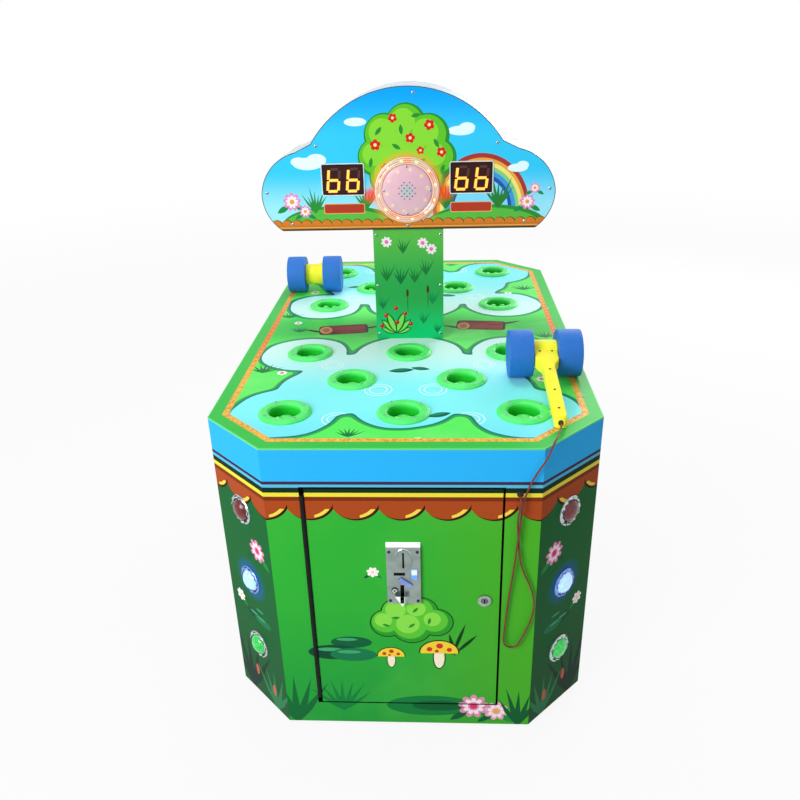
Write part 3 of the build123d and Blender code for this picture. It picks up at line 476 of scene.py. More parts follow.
def scallops(art):
    """Red-brown scallops, each with a yellow light and a dark shade at its lower right."""
    half = scallop_pitch / 2
    radius = (half ** 2 + scallop_drop ** 2) / (2 * scallop_drop)
    along = art.calc("WRAP", art.across, half, -half)
    down = art.less(art.up, scallop_low + radius)

    def round_edge(shift, size):
        off = art.less(along, shift)
        return art.within(art.far(off, art.calc("ADD", down, shift)), radius - size)

    whole = round_edge(0.0, 0.0)
    art.paint("A8481C", art.either([whole, art.band(art.up, scallop_high, 0.6)]))
    art.paint("2A1408", art.without(whole, round_edge(-0.003, 0.0)))
    light = art.without(round_edge(0.0, 0.0052), round_edge(-0.0050, 0.0042))
    right_half = art.calc("GREATER_THAN", along, 0.006)
    low_part = art.calc("LESS_THAN", art.up, scallop_high)
    art.paint("F0D850", art.times(light, right_half), low_part)


def gloss_film(art):
    """The clear film over a print, laid by hand, so that its gloss is a little uneven."""
    art.sheen(0.28, 0.34, 5.0, 0.02)
    art.put("Specular IOR Level", 0.06)
    art.relief(art.noise(30.0, 0.0), 0.00003)


def wall_print(name, direction, garden):
    """The film of the walls that look one way, with its own garden."""
    art = Print(name, "2FAE35")
    wide = art.size(art.x)
    long = art.size(art.y)
    slant = art.less(art.less(long, wide), half_length - half_width)
    across, depth, outer = {
        "end": (art.x, long, half_length),
        "side": (art.y, wide, half_width),
        "corner": (art.times(slant, half_root), art.calc("ADD", wide, long),
                   half_width + half_length - corner_cut),
    }[direction]
    art.draw_on(across, art.z)
    art.paint("148C40", art.ramp(art.z, 0.40, 0.0, 0.6))
    art.paint("5CC648", art.ramp(art.noise(6.0, 3.0), 0.45, 0.8, 0.3))
    garden(art)
    scallops(art)
    art.lay(art.band, ("7C2E10", art.z, 0.521, 0.530), ("E9DC3E", art.z, 0.529, 0.5372),
            ("0B2A1C", art.z, 0.537, 0.5472), ("55B9DC", art.z, 0.547, 0.5532),
            ("3E2A48", art.z, 0.553, 0.5592), ("2AB2F6", art.z, 0.559, 0.640))
    # The board's edges and inner faces are painted near black: partly dark board paint, partly painted shade
    # for the gaps round the door.
    art.paint("17130F", art.within(depth, outer - film))
    gloss_film(art)
    return art


def daisy(art, across, up, size, petal, heart, petals=9, turn=10.0):
    """A flower seen from the front, with a paler tip to each petal."""
    low = up - size * 0.8
    art.lay(art.leaf, ("0E5A34", across - size * 0.9, low, size * 1.5, size * 0.5, 35),
            ("1E8A3E", across + size * 0.9, low, size * 1.5, size * 0.5, -35))
    art.lay(art.bloom, (petal, across, up, size, petals, turn),
            ("FBE6EE", across, up, size * 0.72, petals, turn))
    art.lay(art.disc, (petal, across, up, size * 0.36), (heart, across, up, size * 0.24))


def bush(art, across, up, size):
    """A round bush, outlined, lit from its upper left."""
    lobes = ((-0.62, -0.08, 0.42), (-0.3, 0.26, 0.46), (0.22, 0.3, 0.44), (0.62, -0.04, 0.42),
             (0, -0.2, 0.5))
    layers = (("123C1A", 0.03, 0.0), ("2C9A2C", 0.0, 0.0), ("58C437", -0.07, -0.05),
              ("86DC4C", -0.2, -0.1))
    art.lobed(lobes, layers, across, up, size)
    for a, b in ((-0.4, 0.1), (0.1, 0.35), (0.45, 0.0), (0.0, -0.15), (-0.65, -0.15)):
        art.paint("2C8C2C", art.leaf(across + a * size, up + b * size, size * 0.22, size * 0.08,
                                     40 + 90 * a))


def toadstool(art, across, up, size):
    """A yellow cap with red spots on a pale foot."""
    foot = (across, up - size * 0.3)
    art.lay(art.disc, ("12301A", *foot, size * 0.27, size * 0.62),
            ("F4EBCF", *foot, size * 0.22, size * 0.56))
    cap = art.within(art.less(up - size * 0.06, art.up))
    art.lay(art.disc, ("12301A", across, up, size * 0.84, size * 0.66),
            ("F2CF3A", across, up, size * 0.78, size * 0.6), inside=cap)
    for a, b, r in ((-0.4, 0.16, 0.12), (0.02, 0.34, 0.14), (0.42, 0.14, 0.11), (-0.1, 0.06, 0.08)):
        art.paint("C9362A", art.disc(across + a * size, up + b * size, r * size), cap)


def pebbles(art, across, up, size):
    """Three flat dark stones with a pale light on each."""
    for colour, a, b, wide in (
        ("0F5E38", 0.3, 0.45, 0.7), ("0B4A30", -0.3, 0.0, 0.9), ("17764A", 0.35, -0.1, 0.8),
    ):
        width = wide * size
        art.lay(art.disc, (colour, across + a * size, up + b * size, width, width * 0.36),
                ("3FA46A", across + (a - 0.15) * size, up + (b + 0.12) * size, width * 0.5,
                 width * 0.09))


def end_garden(art):
    art.paint("4FAE1E", art.ramp(art.across, -0.05, 0.25, 0.75))
    art.lay(art.disc, ("0E7C3A", 0.045, 0.052, 0.085, 0.026), ("0A5E30", 0.060, 0.052, 0.050, 0.013))
    art.lay(art.tuft, ("12803C", -0.125, 0.035, 0.085, 55, 7), ("0E6A34", -0.218, 0.0, 0.13, 40, 5))
    pebbles(art, -0.118, 0.185, 0.055)
    for across, height, turn in ((0.098, 0.080, -18), (0.112, 0.060, -42), (0.086, 0.056, 12)):
        art.paint("103C18", art.leaf(across, 0.178 + height / 2, height, 0.007, 90 + turn))
    toadstool(art, 0.062, 0.188, 0.045)
    toadstool(art, -0.028, 0.178, 0.032)
    bush(art, 0.012, 0.262, 0.072)
    daisy(art, 0.128, 0.052, 0.030, "E58BB8", "D8356E")
    daisy(art, 0.172, 0.040, 0.024, "F0A8C8", "E0B23A", 8, 30)
    daisy(art, -0.055, 0.372, 0.011, "FFFFFF", "F0C83A", 7)
    art.paint("0C5A30", art.tuft(0.214, 0.0, 0.10, 35, 5))


def side_garden(art):
    art.paint("1E6A48", art.ramp(art.z, 0.50, 0.1, 0.75))
    for across, height in ((-0.41, 0.15), (-0.16, 0.12), (0.13, 0.16), (0.38, 0.13)):
        art.lay(art.tuft, ("0D4A32", across, 0.0, height, 45, 7),
                ("2E9A58", across + 0.07, 0.0, height * 0.7, 45, 5))
    for across, up, size in ((-0.3, 0.25, 0.085), (0.27, 0.28, 0.09)):
        bush(art, across, up, size)
    for across, up, size in (
        (-0.08, 0.33, 0.030), (0.02, 0.16, 0.034), (0.43, 0.36, 0.026), (-0.43, 0.38, 0.024),
    ):
        daisy(art, across, up, size, "E58BB8", "D8356E")


def corner_garden(art):
    art.paint("0C5A2C", art.ramp(art.z, 0.60, 0.51, 0.94))
    art.paint("085024", art.ramp(art.z, 0.36, 0.0, 0.8))
    # Painted light: a blue glow round the lit white lamp, laid on the print.
    art.paint("1E66C0", art.ramp(art.reach(0.0, white_lamp_height), 0.052, 0.026, 0.5))
    art.lay(art.tuft, ("0A3324", -0.045, 0.0, 0.15, 38, 5), ("2A7A4C", 0.040, 0.0, 0.11, 42, 5))
    art.lay(art.disc, ("C8604E", 0.036, 0.052, 0.0055, 0.014), ("C8604E", -0.022, 0.068, 0.0055, 0.014))
    pebbles(art, 0.012, 0.222, 0.034)
    daisy(art, 0.036, 0.392, 0.024, "E58BB8", "D8356E")
    daisy(art, -0.048, 0.245, 0.014, "FFFFFF", "F0C83A", 7)


dress(wall_print("end_wall_print", "end", end_garden), "front_wall", "rear_wall", "coin_door")
dress(plain("grey_painted_sheet", "8C9498", "788084", 0.35, 0.5, 60, 0.00006), "rear_service_panel")
for direction, garden in (("side", side_garden), ("corner", corner_garden)):
    turned_print = wall_print(f"{direction}_wall_print", direction, garden)
    turned_print.put("Specular IOR Level", 0.02)
    dress(turned_print, f"{direction}_walls")

# Twelve round lamps stand on the corner walls, three to a corner: a faceted clear bezel on a
# dark body, and a domed lens, red at the top, blue-white in the middle and green below.
lamp_middle = (half_width - corner_cut / 2, half_length - corner_cut / 2)
bezel_facets = 24
facet_drop = 0.0022
facet_base = 0.003


def lathe(profile, steps=32):
    """A profile of (radius, height), turned about the upright axis."""
    shape = bmesh.new()
    corners = [shape.verts.new((radius, 0, height)) for radius, height in profile]
    lines = [shape.edges.new(pair) for pair in zip(corners, corners[1:])]
    bmesh.ops.spin(shape, geom=corners + lines, cent=(0, 0, 0), axis=(0, 0, 1), angle=math.tau,
                   steps=steps, use_merge=True)
    return shape


def pattern(shape, name, finish=None):
    """Close a shape's seams, point its faces outwards and keep it to be stamped. The number of
    a finish goes to all its faces."""
    bmesh.ops.remove_doubles(shape, verts=shape.verts[:], dist=1e-6)
    bmesh.ops.recalc_face_normals(shape, faces=shape.faces[:])
    if finish is not None:
        for face in shape.faces:
            face.material_index = finish
    mesh = bpy.data.meshes.new(name)
    shape.to_mesh(mesh)
    shape.free()
    return mesh


def stamp(mesh, places, shape=None):
    """Copy a pattern to each place, into a shape of its own or into one that is there."""
    shape = shape or bmesh.new()
    for place in places:
        copy = mesh.copy()
        copy.transform(place)
        shape.from_mesh(copy)
        bpy.data.meshes.remove(copy)
    return shape


def facing(place, direction, turn=0.0):
    """A place whose own upright axis points in a direction."""
    aim = Vector(direction).to_track_quat("Z", "Y").to_matrix().to_4x4()
    return Matrix.Translation(place) @ aim @ Matrix.Rotation(turn, 4, "Z")


bezel = lathe([(0.0215, -0.002), (0.0237, -0.002), (0.0237, 0.0), (0.029, 0.0), (0.029, 0.0018),
               (0.0278, 0.0044), (0.0255, 0.005), (0.0226, 0.005), (0.0215, 0.0036),
               (0.0215, -0.002)], bezel_facets)
for vert in bezel.verts:
    facet = round(math.atan2(vert.co.y, vert.co.x) / math.tau * bezel_facets)
    if facet % 2 and vert.co.z > facet_base:
        vert.co.z -= facet_drop
# Some upper facets get the dark bezel_shade finish: painted dark reflections for the sparkle of cut clear
# plastic.
for face in bezel.faces:
    middle = face.calc_center_median()
    facet = int((math.atan2(middle.y, middle.x) / math.tau + 1) * bezel_facets)
    ring = int(middle.xy.length * 700)
    face.material_index = int(middle.z > facet_base and (facet * 2 + ring) % 5 < 2)
bezel_mesh = pattern(bezel, "bezel_pattern")
lens_mesh = pattern(lathe([(0.0, 0.013), (0.0062, 0.0124), (0.0118, 0.0107), (0.0166, 0.0078),
                           (0.0198, 0.0044), (0.0213, 0.0008), (0.0213, -0.002), (0.0, -0.002)],
                          bezel_facets), "lens_pattern")
clear_bezel = plain("clear_bezel", "CAD6D8", "7E9094", 0.06, 0.14, 200, 0.00003, metal=0.7, coat=0.4)
# Painted light: the bezels round the white lamps are tinted blue by their glow.
from_white = clear_bezel.gap(clear_bezel.z, white_lamp_height)
clear_bezel.paint("4C84F4", clear_bezel.ramp(from_white, 0.040, 0.034, 0.7))
# bezel_shade is the clear bezel's painted dark reflection.
bezel_shade = plain("bezel_shade", "3C4A4A", "1C2626", 0.06, 0.14, 200, 0.00003, metal=0.6)
bezel_places = []
for height, name, lens_name, colour, heart, strength in (
    (0.466, "red", "red_lens", "5C0A10", "A81C28", 0.02),
    (white_lamp_height, "white", "blue_white_lens", "7CB2FA", "C4E0FF", 0.5),
    (0.150, "green", "green_lens", "10A83A", "3CF070", 0.2),
):
    lens = plain(lens_name, colour, heart, 0.06, 0.16, 160, 0.0002, coat=0.2, lit=(strength, heart))
    lens.put("Transmission Weight", 0.25)
    places = [facing((x_way * lamp_middle[0], y_way * lamp_middle[1], height), (x_way, y_way, 0))
              for x_way in (-1, 1) for y_way in (-1, 1)]
    bezel_places += places
    new_piece(f"{name}_lenses", stamp(lens_mesh, places), "cabinet", [lens],
              ["lamp_lenses"], 60)
new_piece("faceted_bezels", stamp(bezel_mesh, bezel_places), "cabinet",
          [clear_bezel, bezel_shade], ["lamp_bezels"], 12)

# The playfield is a printed overlay on board: a bright field with two ponds, an orange ribbon
# along the edge, and a green moulded ring screwed round each hole.
hole_places = [(x, y, -1) for x, y in (
    (-0.213, -0.444), (0, -0.444), (0.213, -0.444), (-0.107, -0.300), (0.107, -0.300),
    (-0.210, -0.159), (0, -0.159), (0.210, -0.159))]
hole_places += [(-x, -y, 1) for x, y, way in hole_places]
play = Print("playfield_print", "5AF062")
wide = play.size(play.x)
long = play.size(play.y)
play.draw_on(wide, long)
# Painted shade: the field darker towards the post, under the sign.
play.paint("36B84A", play.ramp(long, 0.13, 0.02, 0.75))
play.paint("8CF58C", play.ramp(play.noise(9.0, 3.0), 0.45, 0.75, 0.4))
shore = None
for across, up, radius in (
    (0.222, 0.160, 0.090), (0.0, 0.172, 0.114), (0.095, 0.282, 0.118), (0.135, 0.345, 0.112),
    (0.216, 0.438, 0.100), (0.0, 0.400, 0.104),
):
    reach = play.less(play.reach(across, up), radius)
    shore = reach if shore is None else play.calc("SMOOTH_MIN", shore, reach, 0.02)
shore = play.calc("MULTIPLY_ADD", play.noise(8.0, 1.0), 0.022, play.less(shore, 0.011))
play.lay(play.within, ("2FA850", shore, 0.0085), ("12806A", shore, 0.0035), ("86F8FC", shore, -0.0015))
water = play.within(shore, -0.0015)
play.paint("DCFFF8", water, play.ramp(long, 0.36, 0.12, 0.9))
play.paint("66DCF8", water, play.ramp(long, 0.42, 0.56, 0.6))
for across, up, size, next_size in (
    (0.052, 0.345, 0.017, 0.026), (0.155, 0.222, 0.014, 0.022), (0.118, 0.468, 0.016, 0.025),
):
    for radius in (size, next_size):
        play.paint("F4FFFF", water, play.hoop(across, up, radius, 0.0018))
play.draw_on(play.x, play.y)
for across, up, size, turn in (
    (-0.012, -0.252, 0.052, 8), (0.026, -0.243, 0.040, -12), (0.064, -0.452, 0.044, 20),
    (-0.160, 0.318, 0.044, 15), (0.085, 0.236, 0.046, -10),
):
    play.lay(play.leaf, ("0C5C4C", across, up, size, size * 0.4, turn),
             ("1E8A62", across - 0.002, up + 0.002, size * 0.7, size * 0.2, turn))
for across, up, turn in ((-0.155, -0.012, 8), (0.160, 0.010, -6)):
    for side in (-1, 1):
        play.paint("2A1410", play.leaf(across + side * 0.060, up + side * 0.012, 0.075, 0.010, 24 * side))
    a, b = play.split(play.spot(across, up, 0.056, 0.030, turn))
    log = play.calc("SMOOTH_MAX", play.size(a), play.size(b), 0.5)
    play.lay(play.within, ("2A1410", log, 1.0, 0.03), ("8A2E24", log, 0.9, 0.03))
    bark = play.noise(60.0, 2.0, (0.25, 1.6, 1))
    play.paint("5A1C16", play.within(log, 0.86, 0.03), play.ramp(bark, 0.5, 0.56))
    play.lay(play.disc, *[(colour, across - 0.040, up - 0.004, *sizes, turn) for colour, *sizes in (
        ("2A1410", 0.0165, 0.026), ("C98A5A", 0.0145, 0.0235), ("A4623A", 0.008, 0.0135))])
for across, up, height in (
    (-0.292, -0.262, 0.05), (0.290, -0.262, 0.05), (-0.298, 0.070, 0.045), (0.298, -0.075, 0.045),
    (-0.090, -0.535, 0.035), (0.10, 0.515, 0.035), (0.285, 0.275, 0.05), (-0.255, -0.028, 0.04),
):
    play.paint("157A3A", play.tuft(across, up, height, 60, 7))
for across, up, size in (
    (-0.252, -0.262, 0.011), (0.262, -0.298, 0.012), (0.255, -0.040, 0.012), (-0.268, 0.035, 0.010),
    (0.028, -0.545, 0.009), (-0.262, 0.272, 0.012), (0.242, 0.252, 0.010), (-0.02, 0.542, 0.009),
):
    play.paint("FFFFFF", play.bloom(across, up, size, 7, 20))
    play.paint("E06A9C", play.disc(across, up, size * 0.4))
inside = play.calc("MAXIMUM", play.less(wide, half_width), play.less(long, half_length))
slant = play.less(play.calc("ADD", wide, long), half_width + half_length - corner_cut)
inside = play.calc("MAXIMUM", inside, play.times(slant, half_root))
play.paint("3CC24C", play.within(play.times(inside, -1.0), 0.024))
ribbon = play.band(inside, -0.0355, -0.0235)
play.paint("F2B84A", ribbon)
play.paint("F0702C", ribbon, play.ramp(long, 0.30, 0.05, 0.85))
play.paint("C98A3C", ribbon, play.ramp(play.noise(160.0, 2.0), 0.5, 0.62, 0.7))
# Pale dots along the ribbon: painted glow of its small lit lights.
light_dot_along = play.calc("WRAP", play.less(wide, long), 0.011, -0.011)
light_dot_reach = play.far(play.calc("ADD", inside, 0.0295), light_dot_along)
play.paint("FFE9B4", ribbon, play.within(light_dot_reach, 0.0016))
play.paint("6ADA7E", play.within(play.times(inside, -1.0), 0.0016))
gloss_film(play)
dress(play, "playfield_overlay")
ring_plastic = plain("green_ring_plastic", "60F07C", "50E46C", 0.3, 0.42, 50, 0.00003, specular=0.15)
# Painted shade: the ring darker where it goes down into the hole.
ring_plastic.paint("22CC34", ring_plastic.ramp(ring_plastic.z, table_top + 0.004, table_top - 0.006))
dress(ring_plastic, "hole_rings")

# Phillips screws hold the rings, the playfield's edge, the service panel, the post's panels and
# the sign's faces.
ring_top = table_top + 0.006
ring_screw_reach = 0.0389
panel_face = 0.578


def screw_pattern(radius, height, finishes=(0, 1)):
    """A round head, drawn from a square of cells, with its cross pressed in. The finishes are
    the numbers of the head's and the cross's."""
    head = bmesh.new()
    bmesh.ops.create_grid(head, x_segments=5, y_segments=5, size=radius)
    cross = [face for face in head.faces
             if min(abs(face.calc_center_median().x), abs(face.calc_center_median().y)) < radius * 0.1
             and face.calc_center_median().length < radius * 0.55]
    for vert in head.verts:
        flat = vert.co.xy
        if max(abs(flat.x), abs(flat.y)) > radius * 0.9:
            flat = flat.normalized() * radius
        vert.co = (flat.x, flat.y, height)
    bmesh.ops.inset_region(head, faces=cross, thickness=radius * 0.04, depth=0.0)
    pressed = {vert for face in cross for vert in face.verts}
    bmesh.ops.translate(head, verts=list(pressed), vec=(0, 0, -height * 0.7))
    rim = [edge for edge in head.edges if edge.is_boundary]
    for edge in rim:
        for vert in edge.verts:
            vert.co.z = height * 0.6
    skirt = bmesh.ops.extrude_edge_only(head, edges=rim)
    for vert in skirt["geom"]:
        if isinstance(vert, bmesh.types.BMVert):
            vert.co.z = 0.0
    for face in head.faces:
        face.material_index = finishes[face in cross]
    return pattern(head, "screw_pattern")


screw_steel = plain("screw_steel", "B9BDBF", "8A8F93", 0.25, 0.4, 300, 0.00003, metal=0.9)
# screw_shade is painted shade: it darkens the screws' cross recesses, the grip's screws and the cord's hole.
screw_shade = plain("screw_recess", "3A3C3E", "26282A", 0.5, 0.7, 300, 0.00003, metal=0.5)
table_screws = [facing((x + ring_screw_reach * math.cos(math.radians(turn)),
                        y + ring_screw_reach * math.sin(math.radians(turn)), ring_top),
                       (0, 0, 1), x * 7 + turn)
                for x, y, way in hole_places for turn in (35, 125, 215, 305)]
table_screws += [facing((side * (half_width - 0.022), y, table_top), (0, 0, 1), y * 9)
                 for side in (-1, 1) for y in (-0.375, -0.125, 0.125, 0.375)]
new_piece("playfield_screw_heads", stamp(screw_pattern(0.0026, 0.0014), table_screws),
          "cabinet", [screw_steel, screw_shade], ["playfield_screws"])
panel_screws = [facing((x, panel_face, z), (0, 1, 0), x * 9 + z)
                for x in (-0.156, 0.156) for z in (0.124, 0.28, 0.436)]
new_piece("service_panel_screws", stamp(screw_pattern(0.0034, 0.0016), panel_screws), "cabinet",
          [screw_steel, screw_shade])

# The frogs are green moulded heads on steel rods. Each has two white eye caps with black
# pupils, pressed on, that look at its player.
frog_skin = plain("frog_plastic", "2FD43A", "16B52A", 0.25, 0.4, 120, 0.0002)
frog_skin.paint("12902A", frog_skin.ramp(frog_skin.noise(95.0, 0.0), 0.62, 0.66))
# Painted highlight: the top of the head, which catches the light in its hole, is paler.
frog_skin.paint("5CEC6C", frog_skin.ramp(frog_skin.z, table_top - 0.011, table_top - 0.007))
frog_skin.paint("8F969C", frog_skin.ramp(frog_skin.z, 0.528, 0.526))
eye_white = plain("eye_white", "F2F4F0", "DDE2DA", 0.12, 0.25, 200, 0.00002)
eye_black = plain("eye_black", "111214", "1E2024", 0.1, 0.2, 200, 0.00002)
eye_radius = 0.0089
eye = lathe([(eye_radius * math.sin(math.radians(step)), eye_radius * math.cos(math.radians(step)))
             for step in (0, 12, 24, 30, 38, 46, 54)], 24)
for face in eye.faces:
    face.material_index = int(face.calc_center_median().z > eye_radius * math.cos(math.radians(28)))
eye_mesh = pattern(eye, "eye_pattern")
frog_radius = 0.026
mouth_height = table_top - 0.036
mouth_half = 48
nostril_height = 0.0105
mouth = bmesh.new()
lip_place = Matrix.Translation((0, frog_radius, 0)) @ Matrix.Rotation(math.pi / 2, 4, "Y")
lip = bmesh.ops.create_circle(mouth, segments=6, radius=0.0009, matrix=lip_place)
bmesh.ops.rotate(mouth, verts=lip["verts"], matrix=Matrix.Rotation(math.radians(-mouth_half), 3, "Z"))
bmesh.ops.spin(mouth, geom=mouth.verts[:] + mouth.edges[:], axis=(0, 0, 1),
               angle=math.radians(2 * mouth_half), steps=16)
bmesh.ops.holes_fill(mouth, edges=[edge for edge in mouth.edges if edge.is_boundary], sides=8)
for vert in mouth.verts:
    vert.co.z += 0.010 * (math.atan2(vert.co.x, vert.co.y) / math.radians(mouth_half)) ** 2
for across in (-0.0035, 0.0035):
    skin = math.sqrt(frog_radius ** 2 - across ** 2) + 0.0002
    nostril = Matrix.Translation((across, skin, nostril_height)) @ Matrix.Rotation(-math.pi / 2, 4, "X")
    bmesh.ops.create_circle(mouth, cap_ends=True, segments=8, radius=0.0011, matrix=nostril)
mouth_mesh = pattern(mouth, "mouth_pattern", 1)
for number, (x, y, way) in enumerate(hole_places, start=1):
    body = f"frog_{number:02d}"
    dress(frog_skin, body)
    face_parts = stamp(eye_mesh, [
        facing((x + side * 0.0115, y + way * 0.010, table_top - 0.011), (side * 0.08, way * 0.94, 0.34))
        for side in (-1, 1)])
    looks = Matrix.Translation((x, y, mouth_height)) @ Matrix.Rotation(0 if way > 0 else math.pi, 4, "Z")
    stamp(mouth_mesh, [looks], face_parts)
    new_piece(f"{body}_eyes", face_parts, body, [eye_white, eye_black], (), 60)

# The post is boxed in by two boards and two printed panels. It carries the sign.
post = Print("post_print", "2FA24E")
post.draw_on(post.x, post.z)
post.paint("5CB84A", post.ramp(post.z, 0.74, 0.87))
post.paint("12C470", post.ramp(post.z, 0.72, 0.63))
post.paint("1F8F58", post.ramp(post.noise(11.0, 3.0), 0.5, 0.8, 0.35))
for across, up, height, colour in (
        (-0.012, 0.812, 0.034, "1F7A34"), (0.036, 0.765, 0.036, "1B7A3A"),
        (-0.048, 0.752, 0.038, "1F7A34"), (-0.018, 0.745, 0.040, "17703A"),
        (0.012, 0.748, 0.036, "1F7A34"), (0.05, 0.700, 0.034, "158A4C"),
        (0.030, 0.655, 0.030, "158A4C"), (-0.058, 0.690, 0.030, "128048"),
        (0.060, 0.634, 0.026, "128048")):
    post.paint(colour, post.tuft(across, up, height, 34, 5))
for turn, size in ((20, 0.036), (160, 0.036), (45, 0.046), (135, 0.046), (70, 0.054), (112, 0.052)):
    across = -0.030 + 0.5 * size * math.cos(math.radians(turn))
    up = 0.634 + 0.5 * size * math.sin(math.radians(turn))
    post.lay(post.leaf, ("0E6A3C", across, up, size, size * 0.34, turn),
             ("7FD854", across, up, size * 0.84, size * 0.20, turn))
for across, up in (
    (-0.052, 0.676), (-0.030, 0.692), (-0.010, 0.680), (-0.062, 0.652), (0.002, 0.656), (-0.028, 0.660),
):
    post.lay(post.disc, ("B42420", across, up, 0.0048), ("F09A8A", across - 0.0014, up + 0.0014, 0.0013))
for across, up in ((0.030, 0.835), (0.048, 0.822), (-0.046, 0.838)):
    post.paint("FBE4EE", post.bloom(across, up, 0.0115, 8, 15))
    post.paint("E07CA8", post.disc(across, up, 0.0042))
for across, up in ((0.040, 0.722), (-0.004, 0.714)):
    post.lay(post.disc, ("4A3220", across, up + 0.012, 0.0028, 0.009),
             ("2A6A30", across, up - 0.012, 0.0009, 0.018))
gloss_film(post)
dress(post, "post_panels")
dress(plain("green_painted_board", "3FA84C", "2F8F42", 0.35, 0.5, 25, 0.0001), "post_frame")

# The sign is a cloud-shaped light box: a pale plastic rim, and a printed face lit from behind
# on each side, held by screws. A thin dark line, painted shade of the gap, runs along the edge of
# each face.
sign_half_width = 0.3
sign_bottom = 0.865
sign_height = 0.277
sign_front = 0.075
post_half_depth = 0.0715
line_width = 0.0014
line_lift = 0.0002
speaker_z = 0.945
display_x = 0.130
rim_plastic = plain("pale_rim", "C6D2D8", "AEBCC4", 0.3, 0.42, 30, 0.00005)
# Painted shade: the rim dark at its front and back edges, where it meets the faces.
rim_plastic.paint("30363A", rim_plastic.ramp(rim_plastic.size(rim_plastic.y), 0.0682, 0.0692))
dress(rim_plastic, "marquee_rim")
sign = Print("sign_print", "36C6F6")
way = sign.calc("SIGN", sign.y)
sign.draw_on(sign.times(sign.times(sign.x, way), -1.0), sign.z)
sign.paint("0BA2F8", sign.ramp(sign.z, 1.045, 1.14))
sign.paint("A6E8FA", sign.ramp(sign.z, 0.99, 0.90, 0.85))
for size, colour in (
    (0.098, "A63A34"), (0.090, "E9A24A"), (0.084, "F0E27A"), (0.077, "86C88A"), (0.070, "3A9ADC"),
    (0.062, "2C50A8"), (0.055, "7CD6F6"),
):
    sign.paint(colour, sign.disc(0.150, 0.905, size, size * 1.12))
for across, up, wide, high in (
    (-0.200, 1.000, 0.030, 0.012), (-0.182, 1.007, 0.020, 0.012), (-0.218, 1.004, 0.016, 0.009),
    (0.108, 1.058, 0.026, 0.009), (0.120, 1.063, 0.016, 0.010), (-0.100, 1.078, 0.022, 0.008),
    (0.222, 0.985, 0.020, 0.008), (0.232, 0.990, 0.012, 0.008),
):
    sign.paint("E2F7FF", sign.disc(across, up, wide, high))
for across, wide, high in ((-0.140, 0.120, 0.038), (0.160, 0.120, 0.036)):
    sign.lay(sign.disc, ("2F8C34", across, 0.878, wide, high),
             ("58B644", across - 0.006, 0.874, wide * 0.96, high * 0.94))
sign.lay(sign.tuft, ("2C7C34", 0.185, 0.905, 0.060, 40, 7), ("2C7C34", 0.078, 0.905, 0.055, 40, 7),
         ("2E8A3A", -0.190, 0.900, 0.050, 40, 7), ("2E8A3A", -0.085, 0.905, 0.050, 40, 7))
sign.lobed(((-0.060, 1.010, 0.038), (-0.042, 1.052, 0.042), (0.000, 1.072, 0.040), (0.044, 1.050, 0.042),
            (0.062, 1.008, 0.038), (0.0, 1.010, 0.060), (-0.034, 0.972, 0.042), (0.036, 0.970, 0.042)),
           (("2C8C34", 0.0, 0.0), ("5FC02C", -0.005, -0.002), ("86D63A", -0.016, -0.006)))
for across, up, turn in (
    (-0.055, 1.060, 50), (0.020, 1.088, 10), (0.060, 1.035, 120), (-0.072, 1.000, 80),
    (0.030, 1.000, 40), (-0.020, 1.030, 150), (0.072, 0.985, 70), (-0.010, 1.062, 95),
):
    sign.paint("2C8C34", sign.leaf(across, up, 0.020, 0.008, turn))
for across, up, size in (
    (-0.062, 1.034, 0.011), (0.008, 1.046, 0.010), (0.046, 1.070, 0.0105), (-0.026, 1.084, 0.009),
    (0.070, 1.018, 0.010), (-0.042, 0.990, 0.009), (0.028, 1.022, 0.008),
):
    sign.paint("D2262A", sign.bloom(across, up, size, 5, across * 900, 0.35))
    sign.paint("FFE08A", sign.disc(across, up, size * 0.3))
for across, up, size in (
    (-0.238, 0.925, 0.019), (-0.212, 0.905, 0.013), (0.244, 0.918, 0.016), (0.258, 0.945, 0.011),
):
    for side in (-1, 1):
        sign.paint("1F8A4A", sign.leaf(across + side * size, up - size * 0.8, size * 1.6, size * 0.6,
                                       -30 * side))
    sign.lay(sign.bloom, ("E58BC0", across, up, size, 9, 10), ("FBE6F2", across, up, size * 0.68, 9, 10))
    sign.paint("E0A03A", sign.disc(across, up, size * 0.26))
for side in (-1, 1):
    for colour, wide, high in (("E8A066", 0.0425, 0.0105), ("B23C26", 0.0408, 0.0088)):
        off = sign.gap(sign.across, side * display_x)
        rise = sign.gap(sign.up, 0.9095)
        plaque = sign.calc("SMOOTH_MAX", sign.less(off, wide), sign.less(rise, high), 0.006)
        sign.paint(colour, sign.within(plaque))
# Painted light: the orange glow of the speaker's light ring on the print round it, and three red glows of
# small lit lights.
sign.paint("FF9A3A", sign.ramp(sign.reach(0.0, 0.944), 0.084, 0.062, 0.6))
for across, up, size in ((-0.076, 0.936, 0.020), (0.078, 0.940, 0.022), (0.0, 0.874, 0.030)):
    sign.paint("F2381A", sign.ramp(sign.reach(across, up), size, size * 0.3, 0.8))
along = sign.calc("WRAP", sign.across, 0.0105, -0.0105)
for colour, radius, shift in (("5A2A12", 0.0122, 0.0), ("D07A2C", 0.0110, -0.0008)):
    off = sign.less(along, shift)
    sign.paint(colour, sign.within(sign.far(off, sign.less(sign.up, 0.8760)), radius))
sign.lay(sign.band, ("C8702A", sign.up, 0.860, 0.8765), ("E8B05A", sign.up, 0.8705, 0.8722),
         ("1E3A22", sign.up, 0.860, 0.8685))
gloss_film(sign)
sign.glow(0.06)
dress(sign, "marquee_faces")
